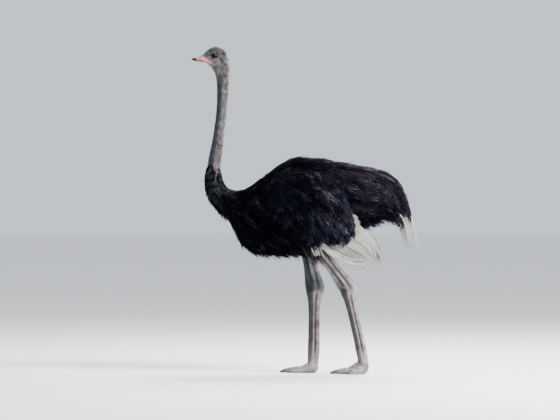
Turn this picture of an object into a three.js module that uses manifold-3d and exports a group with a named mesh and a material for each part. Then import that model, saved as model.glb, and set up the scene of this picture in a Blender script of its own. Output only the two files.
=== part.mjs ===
// Common ostrich, adult male, caught mid-stride: a still, life-size model.
//
// Millimetres, +Z up. The bird faces -X, its right side is +Y, and the origin lies on the floor under the
// middle of its bounding box. Every part is a loft: a row of stations, each with the two ends of a ring's
// long axis, its half thickness and its shape, joined by smooth curves. One loft runs from the face down the
// neck and along the trunk to the tail, and one runs down each leg to the toe. They are parted by thin cuts.

import * as THREE from "three";
import { mergeVertices } from "three/addons/utils/BufferGeometryUtils.js";
import Module from "manifold-3d";

const wasm = await Module();
wasm.setup();

// ---------------------------------------------------------------------------------------------------------
// Driving sizes
// ---------------------------------------------------------------------------------------------------------

const GAP = 0.3; // between neighbouring parts
const CUT = GAP + 0.05; // how much larger a part is made when it cuts its neighbour
const SHANK = 530; // tibiotarsus, knee to ankle
const TARSUS = 490; // tarsometatarsus, ankle to toe joint
const EYE = { x: -592, z: 2089, y: 22.5, radius: 21 };
const EAR = { x: -526, z: 2040, y: 37, radius: 7 };
const NOSTRIL = { x: -703, z: 2077, y: 17, length: 17, height: 5 };
const SOLE_SINK = 5; // the toes' round undersides dip this far below the floor and are cut flat there
const FEATHER_STEP = 7; // height of one row of body feathers over the next

const COLOURS = {
  down: { color: 0x8c8a88, roughness: 0.85 },
  skin: { color: 0xb0a6a2, roughness: 0.6 },
  horn: { color: 0xc08f86, roughness: 0.45 },
  claw: { color: 0x3b3430, roughness: 0.4 },
  black: { color: 0x0d0d12, roughness: 0.7 },
  white: { color: 0xe8e4da, roughness: 0.8 },
  eye: { color: 0x120c08, roughness: 0.05 },
};

// ---------------------------------------------------------------------------------------------------------
// Lofts
// ---------------------------------------------------------------------------------------------------------

// A station of a ring: a and b are the ends of its long axis, w its half thickness across, low moves the
// widest place towards b where it is positive, and box makes it squarer below 1.
function station(a, b, w, low = 0, box = 1) {
  return { a, b, w, low, box };
}

// A station in the plane of symmetry, from [x, z] pairs.
function middle(a, b, w, low = 0, box = 1) {
  return station([a[0], 0, a[1]], [b[0], 0, b[1]], w, low, box);
}

function curveThrough(points) {
  return new THREE.CatmullRomCurve3(
    points.map((p) => new THREE.Vector3(...p)),
    false,
    "catmullrom",
    0.5,
  );
}

class Loft {
  constructor(stations, relief = () => 0) {
    this.last = stations.length - 1;
    this.a = curveThrough(stations.map((s) => s.a));
    this.b = curveThrough(stations.map((s) => s.b));
    this.shape = curveThrough(stations.map((s) => [s.w, s.low, s.box]));
    this.relief = relief;
  }

  centre(at) {
    const t = THREE.MathUtils.clamp(at / this.last, 0, 1);
    return this.a.getPoint(t).lerp(this.b.getPoint(t), 0.5);
  }

  heading(at) {
    const step = 0.02;
    return this.centre(at + step).sub(this.centre(at - step)).normalize();
  }

  // A point of the surface at a station number and an angle: 0 is one side, a quarter turn is end a.
  point(at, angle, rise, shift = 0) {
    const t = THREE.MathUtils.clamp(at / this.last, 0, 1);
    const a = this.a.getPoint(t);
    const b = this.b.getPoint(t);
    const { x: w, y: low, z: box } = this.shape.getPoint(t);
    const half = a.distanceTo(b) / 2;
    const up = a.clone().sub(b).normalize();
    const heading = this.heading(at);
    const across = new THREE.Vector3().crossVectors(heading, up).normalize();
    const c = Math.cos(angle);
    const s = Math.sin(angle);
    const out = rise + this.relief(at, angle);
    const wide = Math.sign(c) * Math.abs(c) ** box * (1 - low * s) * (w + out);
    const tall = Math.sign(s) * Math.abs(s) ** box * (half + out);
    return a
      .add(b)
      .multiplyScalar(0.5)
      .addScaledVector(heading, shift)
      .addScaledVector(across, wide)
      .addScaledVector(up, tall);
  }

  // A closed mesh over a list of rings. grow makes it larger all round, trim shortens its two ends, and
  // dome rounds the last one.
  solid(rings, sides, { grow = 0, trim = [0, 0], dome = 0 } = {}) {
    const end = rings.length - 1;
    const points = [];
    rings.forEach(({ at, rise = 0, notch = 0 }, i) => {
      let shift = 0;
      if (i === 0) shift = trim[0] - grow;
      if (i === end) shift = grow - trim[1];
      for (let j = 0; j < sides; j++) {
        const place = at - (j % 2 ? notch : 0);
        points.push(this.point(place, (2 * Math.PI * j) / sides, rise + grow, shift));
      }
    });
    const start = points.length;
    points.push(average(points.slice(0, sides)));
    points.push(average(points.slice(end * sides, start)));
    points[start + 1].addScaledVector(this.heading(rings[end].at), dome);
    const faces = [];
    for (let j = 0; j < sides; j++) {
      const next = (j + 1) % sides;
      for (let i = 0; i < end; i++) {
        const p = i * sides + j;
        const q = i * sides + next;
        faces.push(p, q, p + sides, q, q + sides, p + sides);
      }
      faces.push(start, next, j);
      faces.push(start + 1, end * sides + j, end * sides + next);
    }
    return solidOf(geometryOf(points, faces));
  }
}

// Rings at even steps, for a smooth stretch.
function evenRings(from, to, count) {
  return Array.from({ length: count + 1 }, (_, i) => ({
    at: from + ((to - from) * i) / count,
  }));
}

// Two rings for each row of feathers, so that rows overlap as tiles do: a row rises to its notched tips and
// drops there to the roots of the next one.
function featherRings(from, to, rows, height) {
  const pitch = (to - from) / rows;
  const notch = 0.3 * pitch;
  const rings = [{ at: from }];
  for (let i = 1; i < rows; i++) {
    const at = from + i * pitch;
    rings.push({ at: at - 0.04 * pitch, rise: height, notch });
    rings.push({ at: at + 0.04 * pitch, notch });
  }
  rings.push({ at: to });
  return rings;
}

function average(points) {
  const sum = points.reduce((s, p) => s.add(p), new THREE.Vector3());
  return sum.multiplyScalar(1 / points.length);
}

function geometryOf(points, faces) {
  const flat = new Float32Array(points.flatMap((p) => [p.x, p.y, p.z]));
  const geometry = new THREE.BufferGeometry();
  geometry.setAttribute("position", new THREE.BufferAttribute(flat, 3));
  geometry.setIndex(faces);
  return geometry;
}

// A manifold-3d solid from a closed three.js geometry, turned to face outwards.
function solidOf(geometry) {
  const bare = geometry.clone();
  bare.deleteAttribute("normal");
  bare.deleteAttribute("uv");
  const merged = mergeVertices(bare, 1e-4);
  const index = Uint32Array.from(merged.index.array);
  const make = () =>
    new wasm.Manifold(
      new wasm.Mesh({
        numProp: 3,
        vertProperties: merged.attributes.position.array,
        triVerts: index,
      }),
    );
  const made = make();
  if (made.volume() > 0) return made;
  index.reverse();
  return make();
}

function meshOf(name, solid, finish) {
  const whole = largestPiece(solid);
  const { numProp, vertProperties, triVerts, numVert } = whole.getMesh();
  const flat = new Float32Array(numVert * 3);
  for (let i = 0; i < numVert; i++) {
    flat.set(vertProperties.subarray(i * numProp, i * numProp + 3), i * 3);
  }
  const geometry = new THREE.BufferGeometry();
  geometry.setAttribute("position", new THREE.BufferAttribute(flat, 3));
  geometry.setIndex(new THREE.BufferAttribute(triVerts, 1));
  geometry.computeVertexNormals();
  const mesh = new THREE.Mesh(geometry, new THREE.MeshStandardMaterial(finish));
  mesh.name = name;
  return mesh;
}

// What is left of a cut solid without the slivers that the cut made.
function largestPiece(solid) {
  const pieces = solid.decompose();
  return pieces.reduce((best, p) => (p.volume() > best.volume() ? p : best));
}

function ball(radii, wide, high) {
  return new THREE.SphereGeometry(1, wide, high).rotateX(Math.PI / 2).scale(...radii);
}

function ellipsoid(centre, radii, wide = 8, high = 6) {
  return solidOf(ball(radii, wide, high).translate(...centre));
}

function blend(from, to, share) {
  return from.map((value, i) => value + (to[i] - value) * share);
}

// ---------------------------------------------------------------------------------------------------------
// Head, neck, trunk and tail: one loft in the plane of symmetry
// ---------------------------------------------------------------------------------------------------------

const BODY_STATIONS = [
  middle([-681, 2092], [-673, 2055], 26, 0.15), // 0 base of the bill
  middle([-658, 2112], [-655, 2046], 30, 0.1), // 1 forehead
  middle([-630, 2130], [-638, 2036], 34), // 2 brow
  middle([-596, 2142], [-627, 2025], 37), // 3 eye
  middle([-563, 2141], [-616, 2013], 38), // 4 crown
  middle([-532, 2119], [-607, 2001], 37), // 5 nape
  middle([-512, 2079], [-598, 1985], 35), // 6 ear
  middle([-502, 2026], [-590, 1964], 34), // 7 throat
  middle([-501, 1967], [-582, 1930], 33), // 8
  middle([-503, 1881], [-580, 1868], 33), // 9
  middle([-510, 1775], [-582, 1775], 33), // 10
  middle([-520, 1670], [-590, 1676], 34), // 11
  middle([-533, 1571], [-603, 1584], 35), // 12
  middle([-539, 1485], [-619, 1498], 38), // 13
  middle([-549, 1412], [-637, 1419], 42), // 14
  middle([-551, 1346], [-652, 1340], 48), // 15 top of the black feathers
  middle([-535, 1277], [-658, 1261], 58), // 16
  middle([-507, 1228], [-650, 1185], 72), // 17 root of the neck
  middle([-470, 1208], [-619, 1119], 92), // 18
  middle([-420, 1207], [-556, 1043], 124), // 19
  middle([-361, 1232], [-480, 947], 160, 0.05, 0.9), // 20 breast
  middle([-293, 1279], [-421, 842], 194, 0.08, 0.9), // 21
  middle([-216, 1342], [-328, 768], 220, 0.08, 0.9), // 22
  middle([-125, 1403], [-190, 756], 238, 0.05, 0.9), // 23
  middle([-28, 1428], [-41, 758], 246, 0, 0.9), // 24 highest point of the back
  middle([91, 1420], [104, 787], 244, 0, 0.9), // 25
  middle([223, 1395], [236, 858], 230, 0, 0.9), // 26
  middle([355, 1373], [368, 946], 206, 0, 0.9), // 27
  middle([474, 1350], [467, 985], 176, 0, 0.9), // 28
  middle([552, 1325], [530, 1012], 152, 0, 0.9), // 29 root of the tail
  middle([614, 1276], [563, 1008], 130, 0, 0.9), // 30
  middle([658, 1203], [599, 1007], 104, 0, 0.9), // 31
  middle([690, 1124], [642, 1012], 74, 0, 0.9), // 32
  middle([710, 1060], [686, 1028], 40, 0, 0.9), // 33 tip of the black tail feathers
];

// Round swellings and hollows of the skull: station, angle above the side in degrees, reach and height.
const SKULL_FORMS = [
  { at: 3.0, angle: 38, along: 1.0, around: 20, rise: 5 }, // brow ridge
  { at: 1.6, angle: 14, along: 0.8, around: 22, rise: -4 }, // lores
  { at: 3.9, angle: -34, along: 1.1, around: 22, rise: 3 }, // cheek
  { at: 5.4, angle: 14, along: 0.7, around: 18, rise: -3 }, // hollow behind the eye
  { at: 6.2, angle: -18, along: 0.7, around: 20, rise: 3 }, // jaw corner
];

function skullForm(at, angle) {
  const side = (Math.asin(Math.sin(angle)) * 180) / Math.PI;
  return SKULL_FORMS.reduce((sum, form) => {
    const along = (at - form.at) / form.along;
    const around = (side - form.angle) / form.around;
    return sum + form.rise * Math.exp(-(along ** 2) - around ** 2);
  }, 0);
}

const body = new Loft(BODY_STATIONS, skullForm);

// The lengths that the loft is parted into, each with its rings and the number of sides of a ring.
const BODY_PARTS = [
  { name: "head", rings: evenRings(0, 7, 14), sides: 20, finish: COLOURS.down },
  { name: "neck_upper", rings: evenRings(7, 10, 5), sides: 14, finish: COLOURS.down },
  { name: "neck_middle", rings: evenRings(10, 13, 5), sides: 14, finish: COLOURS.down },
  {
    name: "neck_lower",
    rings: [...evenRings(13, 15, 3), ...featherRings(15.1, 17, 2, 4)],
    sides: 16,
    finish: COLOURS.black,
  },
  {
    name: "trunk",
    rings: featherRings(17, 29, 9, FEATHER_STEP),
    sides: 22,
    finish: COLOURS.black,
  },
  { name: "tail", rings: featherRings(29, 33, 4, FEATHER_STEP), sides: 20, finish: COLOURS.black },
];

function bodySolid(name, grow = 0) {
  const index = BODY_PARTS.findIndex((part) => part.name === name);
  const { rings, sides } = BODY_PARTS[index];
  const last = index === BODY_PARTS.length - 1;
  const trim = [index === 0 ? 0 : GAP / 2, last ? 0 : GAP / 2];
  return body.solid(rings, sides, { grow, trim, dome: last ? 12 : 0 });
}

// ---------------------------------------------------------------------------------------------------------
// Bill, eyes and ears
// ---------------------------------------------------------------------------------------------------------

const UPPER_BILL = new Loft([
  middle([-664, 2099], [-660, 2057], 24, 0.4, 0.85), // rooted in the face
  middle([-681, 2091], [-677, 2059], 26, 0.5, 0.85),
  middle([-696, 2085], [-694, 2061], 23, 0.5, 0.85),
  middle([-713, 2080.5], [-711, 2062.5], 20, 0.45, 0.85),
  middle([-729, 2079], [-728, 2064.5], 16.5, 0.3, 0.9),
  middle([-739, 2076], [-739, 2065.5], 12, 0.2, 0.95),
  middle([-744.5, 2071.5], [-744.5, 2066.5], 6, 0),
]);

const LOWER_BILL = new Loft([
  middle([-662, 2056.2], [-660, 2043], 23, -0.3, 0.9),
  middle([-677, 2058.2], [-674, 2048], 23.5, -0.3, 0.9),
  middle([-694, 2060.2], [-692, 2052.5], 20.5, -0.3, 0.9),
  middle([-711, 2061.8], [-710, 2056.2], 17.5, -0.3, 0.9),
  middle([-727, 2063.8], [-726, 2059.8], 13.5, -0.2, 0.95),
  middle([-737, 2064.8], [-736.5, 2062.2], 8, 0),
]);

function faceSolids(solids) {
  const upper = (grow) => UPPER_BILL.solid(evenRings(0, 6, 8), 12, { grow, dome: 1.5 });
  const lower = (grow) => LOWER_BILL.solid(evenRings(0, 5, 6), 12, { grow, dome: 1 });
  solids.bill_upper = upper(0);
  solids.bill_lower = lower(0).subtract(upper(CUT));
  solids.head = solids.head.subtract(upper(CUT)).subtract(lower(CUT));
  for (const [, hand] of HANDS) {
    const socket = ellipsoid([EYE.x, hand * EYE.y, EYE.z], eyeRadii(CUT), ...EYE_FACETS);
    const ear = ellipsoid(
      [EAR.x, hand * EAR.y, EAR.z],
      [EAR.radius, EAR.radius, EAR.radius * 1.2],
    );
    const nostril = ellipsoid(
      [NOSTRIL.x, hand * NOSTRIL.y, NOSTRIL.z],
      [NOSTRIL.length / 2, 5, NOSTRIL.height / 2],
    );
    solids.head = solids.head.subtract(socket).subtract(ear);
    solids.bill_upper = solids.bill_upper.subtract(nostril);
  }
}

const EYE_FACETS = [12, 8];

function eyeRadii(grow = 0) {
  return Array(3).fill(EYE.radius + grow);
}

function eyeMesh(label, hand) {
  const eye = new THREE.Mesh(
    ball(eyeRadii(), ...EYE_FACETS),
    new THREE.MeshStandardMaterial(COLOURS.eye),
  );
  eye.name = "eye_" + label;
  eye.position.set(EYE.x, hand * EYE.y, EYE.z);
  return eye;
}

// ---------------------------------------------------------------------------------------------------------
// Legs
// ---------------------------------------------------------------------------------------------------------

const HANDS = [
  ["left", -1],
  ["right", 1],
];

// lean is the angle of a bone from the vertical, in degrees: positive leads the lower end to the rear.
const LEG_POSES = {
  left: {
    ankle: [285, -132, 561],
    shankLean: 36.5,
    shankSpread: -28,
    tarsusLean: 12.3,
    foot: -106,
    toeTurn: -4,
    depth: 0.96,
  },
  right: {
    ankle: [71, 62, 555],
    shankLean: 11.5,
    shankSpread: 84,
    tarsusLean: -1.2,
    foot: 18,
    toeTurn: 3,
    depth: 1.06,
  },
};

// Half sizes of the leg, in front, behind and to the side, at shares of each bone's length.
const SHANK_PROFILE = [
  { share: -0.11, front: 36, back: 36, side: 32 },
  { share: -0.02, front: 80, back: 74, side: 62 },
  { share: 0.1, front: 94, back: 86, side: 70 },
  { share: 0.27, front: 76, back: 74, side: 60 },
  { share: 0.43, front: 54, back: 57, side: 47 },
  { share: 0.57, front: 44, back: 46, side: 38 },
  { share: 0.7, front: 43, back: 46, side: 34 },
  { share: 0.82, front: 50, back: 54, side: 36 },
  { share: 0.94, front: 58, back: 62, side: 41 },
  { share: 1.0, front: 59, back: 62, side: 43 },
];
const TARSUS_PROFILE = [
  { share: 0.07, front: 53, back: 53, side: 41 },
  { share: 0.16, front: 43, back: 42, side: 34 },
  { share: 0.35, front: 37, back: 37, side: 29 },
  { share: 0.6, front: 36, back: 37, side: 27 },
  { share: 0.82, front: 38, back: 39, side: 30 },
];

// The toe joint and middle toe: ends of each ring as distance ahead of the joint and height over the floor.
const MIDDLE_TOE = [
  { top: [40, 1.06], under: [-34, 0.8], side: 36 }, // heights here are shares of the joint's height
  { top: [56, 0.9], under: [-30, 0.25], side: 38 },
  { top: [78, 0.7], under: [4, -0.06], side: 38 },
  { top: [104, 0.6], under: [62, -0.07], side: 35 },
  { top: [132, 0.56], under: [110, -0.07], side: 33 },
  { top: [158, 0.5], under: [148, -0.07], side: 30 },
  { top: [176, 0.36], under: [174, -0.04], side: 23 },
];
const TOE_HEIGHT = 74; // height of the toe joint that those shares stand for

const OUTER_TOE = [
  { at: 8, top: 60, side: 26 },
  { at: 40, top: 52, side: 26 },
  { at: 72, top: 42, side: 24 },
  { at: 100, top: 36, side: 22 },
  { at: 118, top: 26, side: 15 },
];
const OUTER_TOE_SPLAY = 27; // degrees from the middle toe

const CLAW = [
  { at: 142, top: 26, under: 6, side: 15 },
  { at: 168, top: 31, under: 4, side: 14 },
  { at: 194, top: 26, under: 2, side: 11 },
  { at: 214, top: 15, under: 1.5, side: 7 },
  { at: 226, top: 6, under: 1.5, side: 3 },
];

// Where the leg's loft, from the knee to the toe, is parted, as station numbers.
const LEG_PARTS = {
  shank: { from: 0, to: 9, rings: 12, sides: 12 },
  tarsus: { from: 9, to: 15.2, rings: 9, sides: 12 },
  toe_middle: { from: 15.2, to: 21, rings: 8, sides: 12 },
};
const floorCut = solidOf(new THREE.BoxGeometry(2400, 1200, 200).translate(0, 0, -100));

function ringAcross(centre, lean, { front, back, side }, depth) {
  const angle = THREE.MathUtils.degToRad(lean);
  const ahead = [-Math.cos(angle), 0, -Math.sin(angle)];
  const a = centre.map((value, i) => value + ahead[i] * front * depth);
  const b = centre.map((value, i) => value - ahead[i] * back * depth);
  return station(a, b, side);
}

class Leg {
  constructor(hand, pose) {
    this.hand = hand;
    this.pose = pose;
    const rad = THREE.MathUtils.degToRad;
    const lift = Math.sqrt(SHANK ** 2 - pose.shankSpread ** 2);
    const drop = Math.sqrt(TARSUS ** 2 - (pose.ankle[1] - pose.foot) ** 2);
    const [x, y, z] = pose.ankle;
    this.knee = [
      x - lift * Math.sin(rad(pose.shankLean)),
      y + pose.shankSpread,
      z + lift * Math.cos(rad(pose.shankLean)),
    ];
    this.joint = [
      x + drop * Math.sin(rad(pose.tarsusLean)),
      pose.foot,
      z - drop * Math.cos(rad(pose.tarsusLean)),
    ];
    this.loft = new Loft(this.stations());
  }

  stations() {
    const { ankle, shankLean, tarsusLean, depth } = this.pose;
    const rings = [];
    for (const size of SHANK_PROFILE) {
      const bent = THREE.MathUtils.smoothstep(size.share, 0.82, 1.08);
      const lean = THREE.MathUtils.lerp(shankLean, tarsusLean, bent);
      rings.push(ringAcross(blend(this.knee, ankle, size.share), lean, size, depth));
    }
    for (const size of TARSUS_PROFILE) {
      const place = blend(ankle, this.joint, size.share);
      rings.push(ringAcross(place, tarsusLean, size, depth));
    }
    for (const ring of MIDDLE_TOE) {
      rings.push(
        station(this.onFoot(ring.top), this.onFoot(ring.under), ring.side, 0, 0.85),
      );
    }
    return rings;
  }

  // A point of the foot from a distance ahead of the joint and a share of the joint's height.
  onFoot([ahead, share]) {
    const height = share * (share > 0.6 ? this.joint[2] : TOE_HEIGHT);
    return this.floorPoint(ahead, 0, height, this.pose.toeTurn);
  }

  floorPoint(ahead, aside, height, turn) {
    const angle = THREE.MathUtils.degToRad(turn);
    return [
      this.joint[0] - ahead * Math.cos(angle),
      this.joint[1] + ahead * Math.sin(angle) + aside,
      height,
    ];
  }

  outerToe(grow = 0) {
    const turn = this.pose.toeTurn + this.hand * OUTER_TOE_SPLAY;
    const rings = OUTER_TOE.map(({ at, top, side }) =>
      station(
        this.floorPoint(at, this.hand * 16, top, turn),
        this.floorPoint(at, this.hand * 16, -SOLE_SINK, turn),
        side,
        0,
        0.85,
      ),
    );
    return new Loft(rings).solid(evenRings(0, 4, 5), 12, { grow, dome: 4 });
  }

  claw(grow = 0) {
    const rings = CLAW.map(({ at, top, under, side }) =>
      station(
        this.floorPoint(at, 0, top, this.pose.toeTurn),
        this.floorPoint(at, 0, under, this.pose.toeTurn),
        side,
        0.15,
      ),
    );
    return new Loft(rings).solid(evenRings(0, 4, 5), 10, { grow, dome: 2 });
  }

  part(name, grow = 0) {
    const { from, to, rings, sides } = LEG_PARTS[name];
    const trim = [from === 0 ? 0 : GAP / 2, to === this.loft.last ? 0 : GAP / 2];
    return this.loft.solid(evenRings(from, to, rings), sides, { trim, grow });
  }

  solids(label) {
    const toe = this.part("toe_middle").subtract(floorCut);
    const foot = this.part("toe_middle", CUT).add(this.part("tarsus", CUT));
    return {
      ["shank_" + label]: this.part("shank"),
      ["tarsus_" + label]: this.part("tarsus"),
      ["toe_middle_" + label]: toe.subtract(this.claw(CUT)),
      ["toe_outer_" + label]: this.outerToe().subtract(floorCut).subtract(foot),
      ["claw_" + label]: this.claw(),
    };
  }
}

// ---------------------------------------------------------------------------------------------------------
// Wings, with their white plumes, and the plumes of the tail
// ---------------------------------------------------------------------------------------------------------

// The folded wing, shoulder to tip, from [x, y, z] at its upper and its lower edge. y is for the right wing.
const WING_STATIONS = [
  { upper: [-266, 158, 1240], lower: [-298, 164, 1150], thick: 26 },
  { upper: [-193, 172, 1320], lower: [-238, 196, 998], thick: 52 },
  { upper: [-86, 182, 1350], lower: [-118, 214, 882], thick: 64 },
  { upper: [48, 184, 1338], lower: [30, 222, 840], thick: 68 },
  { upper: [168, 184, 1288], lower: [155, 222, 833], thick: 64 },
  { upper: [256, 190, 1202], lower: [236, 216, 832], thick: 52 },
  { upper: [300, 198, 1104], lower: [282, 212, 858], thick: 38 },
  { upper: [324, 204, 1012], lower: [308, 210, 918], thick: 18 },
];
const WING_RINGS = featherRings(0, 7, 7, FEATHER_STEP);
const WING_SIDES = 16;

// The fan of white flight feathers under the wing's rear edge, from the lowest to the highest of them:
// root, bend and tip of the two outermost ones. y is for the right wing.
const WING_FAN = {
  count: 8,
  root: [[68, 214, 866], [288, 200, 1062]],
  bend: [[222, 232, 736], [440, 212, 1004]],
  tip: [[402, 226, 684], [498, 208, 768]],
  thick: 6,
};

// The drooping white plumes under the tail, from the right side across to the left.
const TAIL_FAN = {
  count: 8,
  spread: 88, // half width of the row of roots
  flare: 1.2, // how much wider the tips stand
  forward: 62, // how far ahead of the middle one the outermost plumes hang
  root: [672, 1080],
  bend: [744, 1000],
  tip: [738, 826],
  thick: 7,
};

function wingSolid(hand, grow = 0) {
  const stations = WING_STATIONS.map(({ upper, lower, thick }) =>
    station(
      [upper[0], hand * upper[1], upper[2]],
      [lower[0], hand * lower[1], lower[2]],
      thick,
      0.15,
    ),
  );
  return new Loft(stations).solid(WING_RINGS, WING_SIDES, { grow, dome: 8 });
}

// A fan of overlapping plumes as one slab: thick along each plume's shaft, thin between two of them, and cut
// back there at the tips. pathAt gives the curve at a share of the way across the fan.
function fanSolid(pathAt, count, thick) {
  const columns = 2 * count + 1;
  const rows = 5;
  const place = (i, j) => {
    const reach = j % 2 ? 1 : 0.88;
    return pathAt(j / (columns - 1)).getPoint((reach * i) / (rows - 1));
  };
  const layers = [[], []];
  for (let i = 0; i < rows; i++) {
    for (let j = 0; j < columns; j++) {
      const middle = place(i, j);
      const along = place(Math.min(i + 1, rows - 1), j).sub(place(Math.max(i - 1, 0), j));
      const aside = place(i, Math.min(j + 1, columns - 1)).sub(place(i, Math.max(j - 1, 0)));
      const face = along.cross(aside).normalize();
      const half = thick * (j % 2 ? 1 : 0.4) * (1 - (0.5 * i) / (rows - 1));
      layers[0].push(middle.clone().addScaledVector(face, half));
      layers[1].push(middle.clone().addScaledVector(face, -half));
    }
  }
  const under = rows * columns;
  const faces = [];
  const quad = (p, q, r, s) => faces.push(p, q, r, p, r, s);
  for (let i = 0; i < rows - 1; i++) {
    for (let j = 0; j < columns - 1; j++) {
      const p = i * columns + j;
      quad(p, p + 1, p + columns + 1, p + columns);
      quad(under + p, under + p + columns, under + p + columns + 1, under + p + 1);
    }
    for (const [j, flip] of [[0, false], [columns - 1, true]]) {
      const p = i * columns + j;
      if (flip) quad(p, under + p, under + p + columns, p + columns);
      else quad(p, p + columns, under + p + columns, under + p);
    }
  }
  for (let j = 0; j < columns - 1; j++) {
    const last = (rows - 1) * columns + j;
    quad(j, under + j, under + j + 1, j + 1);
    quad(last, last + 1, under + last + 1, under + last);
  }
  return solidOf(geometryOf(layers.flat(), faces));
}

function bent(...points) {
  return new THREE.QuadraticBezierCurve3(...points.map((p) => new THREE.Vector3(...p)));
}

function wingPlumes(hand) {
  const { count, root, bend, tip, thick } = WING_FAN;
  const pathAt = (share) =>
    bent(
      ...[root, bend, tip].map(([low, high]) => {
        const [x, y, z] = blend(low, high, share);
        return [x, hand * y, z];
      }),
    );
  return fanSolid(pathAt, count, thick);
}

function tailPlumes() {
  const { count, spread, flare, forward, root, bend, tip, thick } = TAIL_FAN;
  const pathAt = (share) => {
    const across = 2 * share - 1;
    const y = across * spread;
    const ahead = forward * across ** 2;
    return bent(
      [root[0] - ahead, y, root[1]],
      [bend[0] - ahead, y * 1.1, bend[1]],
      [tip[0] - ahead, y * flare, tip[1] + 0.8 * ahead],
    );
  };
  return fanSolid(pathAt, count, thick);
}

// ---------------------------------------------------------------------------------------------------------
// The bird
// ---------------------------------------------------------------------------------------------------------

function finishOf(name) {
  const part = BODY_PARTS.find((p) => p.name === name);
  if (part) return part.finish;
  if (name.startsWith("bill")) return COLOURS.horn;
  if (name.startsWith("claw")) return COLOURS.claw;
  if (name.endsWith("plumes")) return COLOURS.white;
  if (name.startsWith("wing")) return COLOURS.black;
  return COLOURS.skin;
}

function groupOf(solids) {
  const group = new THREE.Group();
  for (const [name, solid] of Object.entries(solids)) {
    group.add(meshOf(name, solid, finishOf(name)));
  }
  return group;
}

function buildBird() {
  const bird = new THREE.Group();
  const core = Object.fromEntries(BODY_PARTS.map(({ name }) => [name, bodySolid(name)]));
  const trunkCutter = bodySolid("trunk", CUT);
  for (const [label, hand] of HANDS) {
    const leg = new Leg(hand, LEG_POSES[label]);
    const shankCutter = leg.part("shank", CUT);
    const wingCutter = wingSolid(hand, CUT);
    const shank = "shank_" + label;
    const limb = leg.solids(label);
    limb[shank] = limb[shank].subtract(wingCutter);
    core.trunk = core.trunk.subtract(wingCutter).subtract(shankCutter);
    const plumes = wingPlumes(hand)
      .subtract(wingCutter)
      .subtract(shankCutter)
      .subtract(trunkCutter);
    const wing = {
      ["wing_" + label]: wingSolid(hand),
      ["wing_" + label + "_plumes"]: plumes,
    };
    bird.add(groupOf(limb), groupOf(wing), eyeMesh(label, hand));
  }
  core.tail_plumes = tailPlumes()
    .subtract(bodySolid("tail", CUT))
    .subtract(trunkCutter);
  faceSolids(core);
  bird.add(groupOf(core));
  return bird;
}

export default buildBird();
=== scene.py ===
"""Common ostrich, adult male, caught in mid-stride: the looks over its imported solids.

Metres, +Z up. The bird faces -X and its right side is +Y, as in its solids. One skin runs from the face
to the toes and lies inside the solids by the depth of the coat. It carries the feathers, the down and the
bristles. The bill, eyes and claws are pieces of their own. Tables of stations are in millimetres.
"""

from __future__ import annotations

import logging
import math
from dataclasses import dataclass, field
from enum import Enum
from typing import Callable, Sequence

import bpy
import numpy as np
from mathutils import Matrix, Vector

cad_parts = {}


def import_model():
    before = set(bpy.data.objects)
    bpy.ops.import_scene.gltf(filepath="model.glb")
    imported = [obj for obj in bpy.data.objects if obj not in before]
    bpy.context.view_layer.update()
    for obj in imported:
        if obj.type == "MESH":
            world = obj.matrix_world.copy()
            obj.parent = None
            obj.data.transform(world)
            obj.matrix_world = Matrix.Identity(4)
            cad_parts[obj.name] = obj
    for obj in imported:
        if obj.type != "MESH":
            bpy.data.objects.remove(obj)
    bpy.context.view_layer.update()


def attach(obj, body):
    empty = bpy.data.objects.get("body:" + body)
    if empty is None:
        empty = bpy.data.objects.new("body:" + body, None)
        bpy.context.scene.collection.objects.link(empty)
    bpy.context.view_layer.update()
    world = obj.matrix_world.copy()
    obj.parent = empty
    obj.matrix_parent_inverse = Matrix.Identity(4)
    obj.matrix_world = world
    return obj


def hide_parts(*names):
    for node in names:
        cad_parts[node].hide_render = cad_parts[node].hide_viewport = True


MM = 0.001
PATCH = 0.003  # width of one tuft's place on the bake map
log = logging.getLogger("ostrich")

Array = np.ndarray
Draw = np.random.Generator
Piece = bpy.types.Object
Material = bpy.types.Material
Socket = bpy.types.NodeSocket
Point = tuple[float, float, float]
Colour = tuple[float, float, float]


class Side(Enum):
    """The bird's two sides, by the sign of Y."""

    LEFT = -1
    RIGHT = 1

    @property
    def label(self) -> str:
        """The side's name as the solids spell it."""
        return self.name.lower()


# --- Vectors, curves and smooth patterns ---


def length_of(vectors: Array) -> Array:
    """Lengths of an array of vectors."""
    return np.sqrt((vectors**2).sum(-1))


def unit(vectors: Array) -> Array:
    """The vectors, each made one long."""
    return vectors / np.maximum(length_of(vectors), 1e-12)[..., None]


def smooth(value: Array, start: float, end: float) -> Array:
    """A soft step from 0 at start to 1 at end, which may lie below start."""
    share = np.clip((value - start) / (end - start), 0.0, 1.0)
    return share * share * (3.0 - 2.0 * share)


def bump(value: Array, middle: float, width: float) -> Array:
    """A bell of height 1 round a middle."""
    return np.exp(-(((value - middle) / width) ** 2))


def tilt_of(angle: Array) -> Array:
    """How far angles of a ring turn from its nearer side, in degrees: 90 at end a and -90 at end b."""
    return np.degrees(np.arcsin(np.clip(np.sin(angle), -1, 1)))


def stacked(*parts: Array | float) -> Array:
    """Coordinates put together as points."""
    return np.stack(np.broadcast_arrays(*parts), axis=-1)


def follow(rows: Array, at: Array) -> Array:
    """A uniform Catmull-Rom curve through rows.

    Args:
        rows: The points, one to a row.
        at: Places along the curve, as numbers of rows.

    Returns:
        The points there, with one more axis than at.
    """
    first = 2 * rows[0] - rows[1]
    final = 2 * rows[-1] - rows[-2]
    padded = np.vstack([first, rows, final])
    index = np.minimum(at.astype(int), len(rows) - 2)
    s = (at - index)[..., None]
    p0, p1, p2, p3 = (padded[index + k] for k in range(4))
    m1 = (p2 - p0) / 2
    m2 = (p3 - p1) / 2
    square = s * s
    cube = square * s
    return (
        (2 * cube - 3 * square + 1) * p1
        + (cube - 2 * square + s) * m1
        + (3 * square - 2 * cube) * p2
        + (cube - square) * m2
    )


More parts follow.
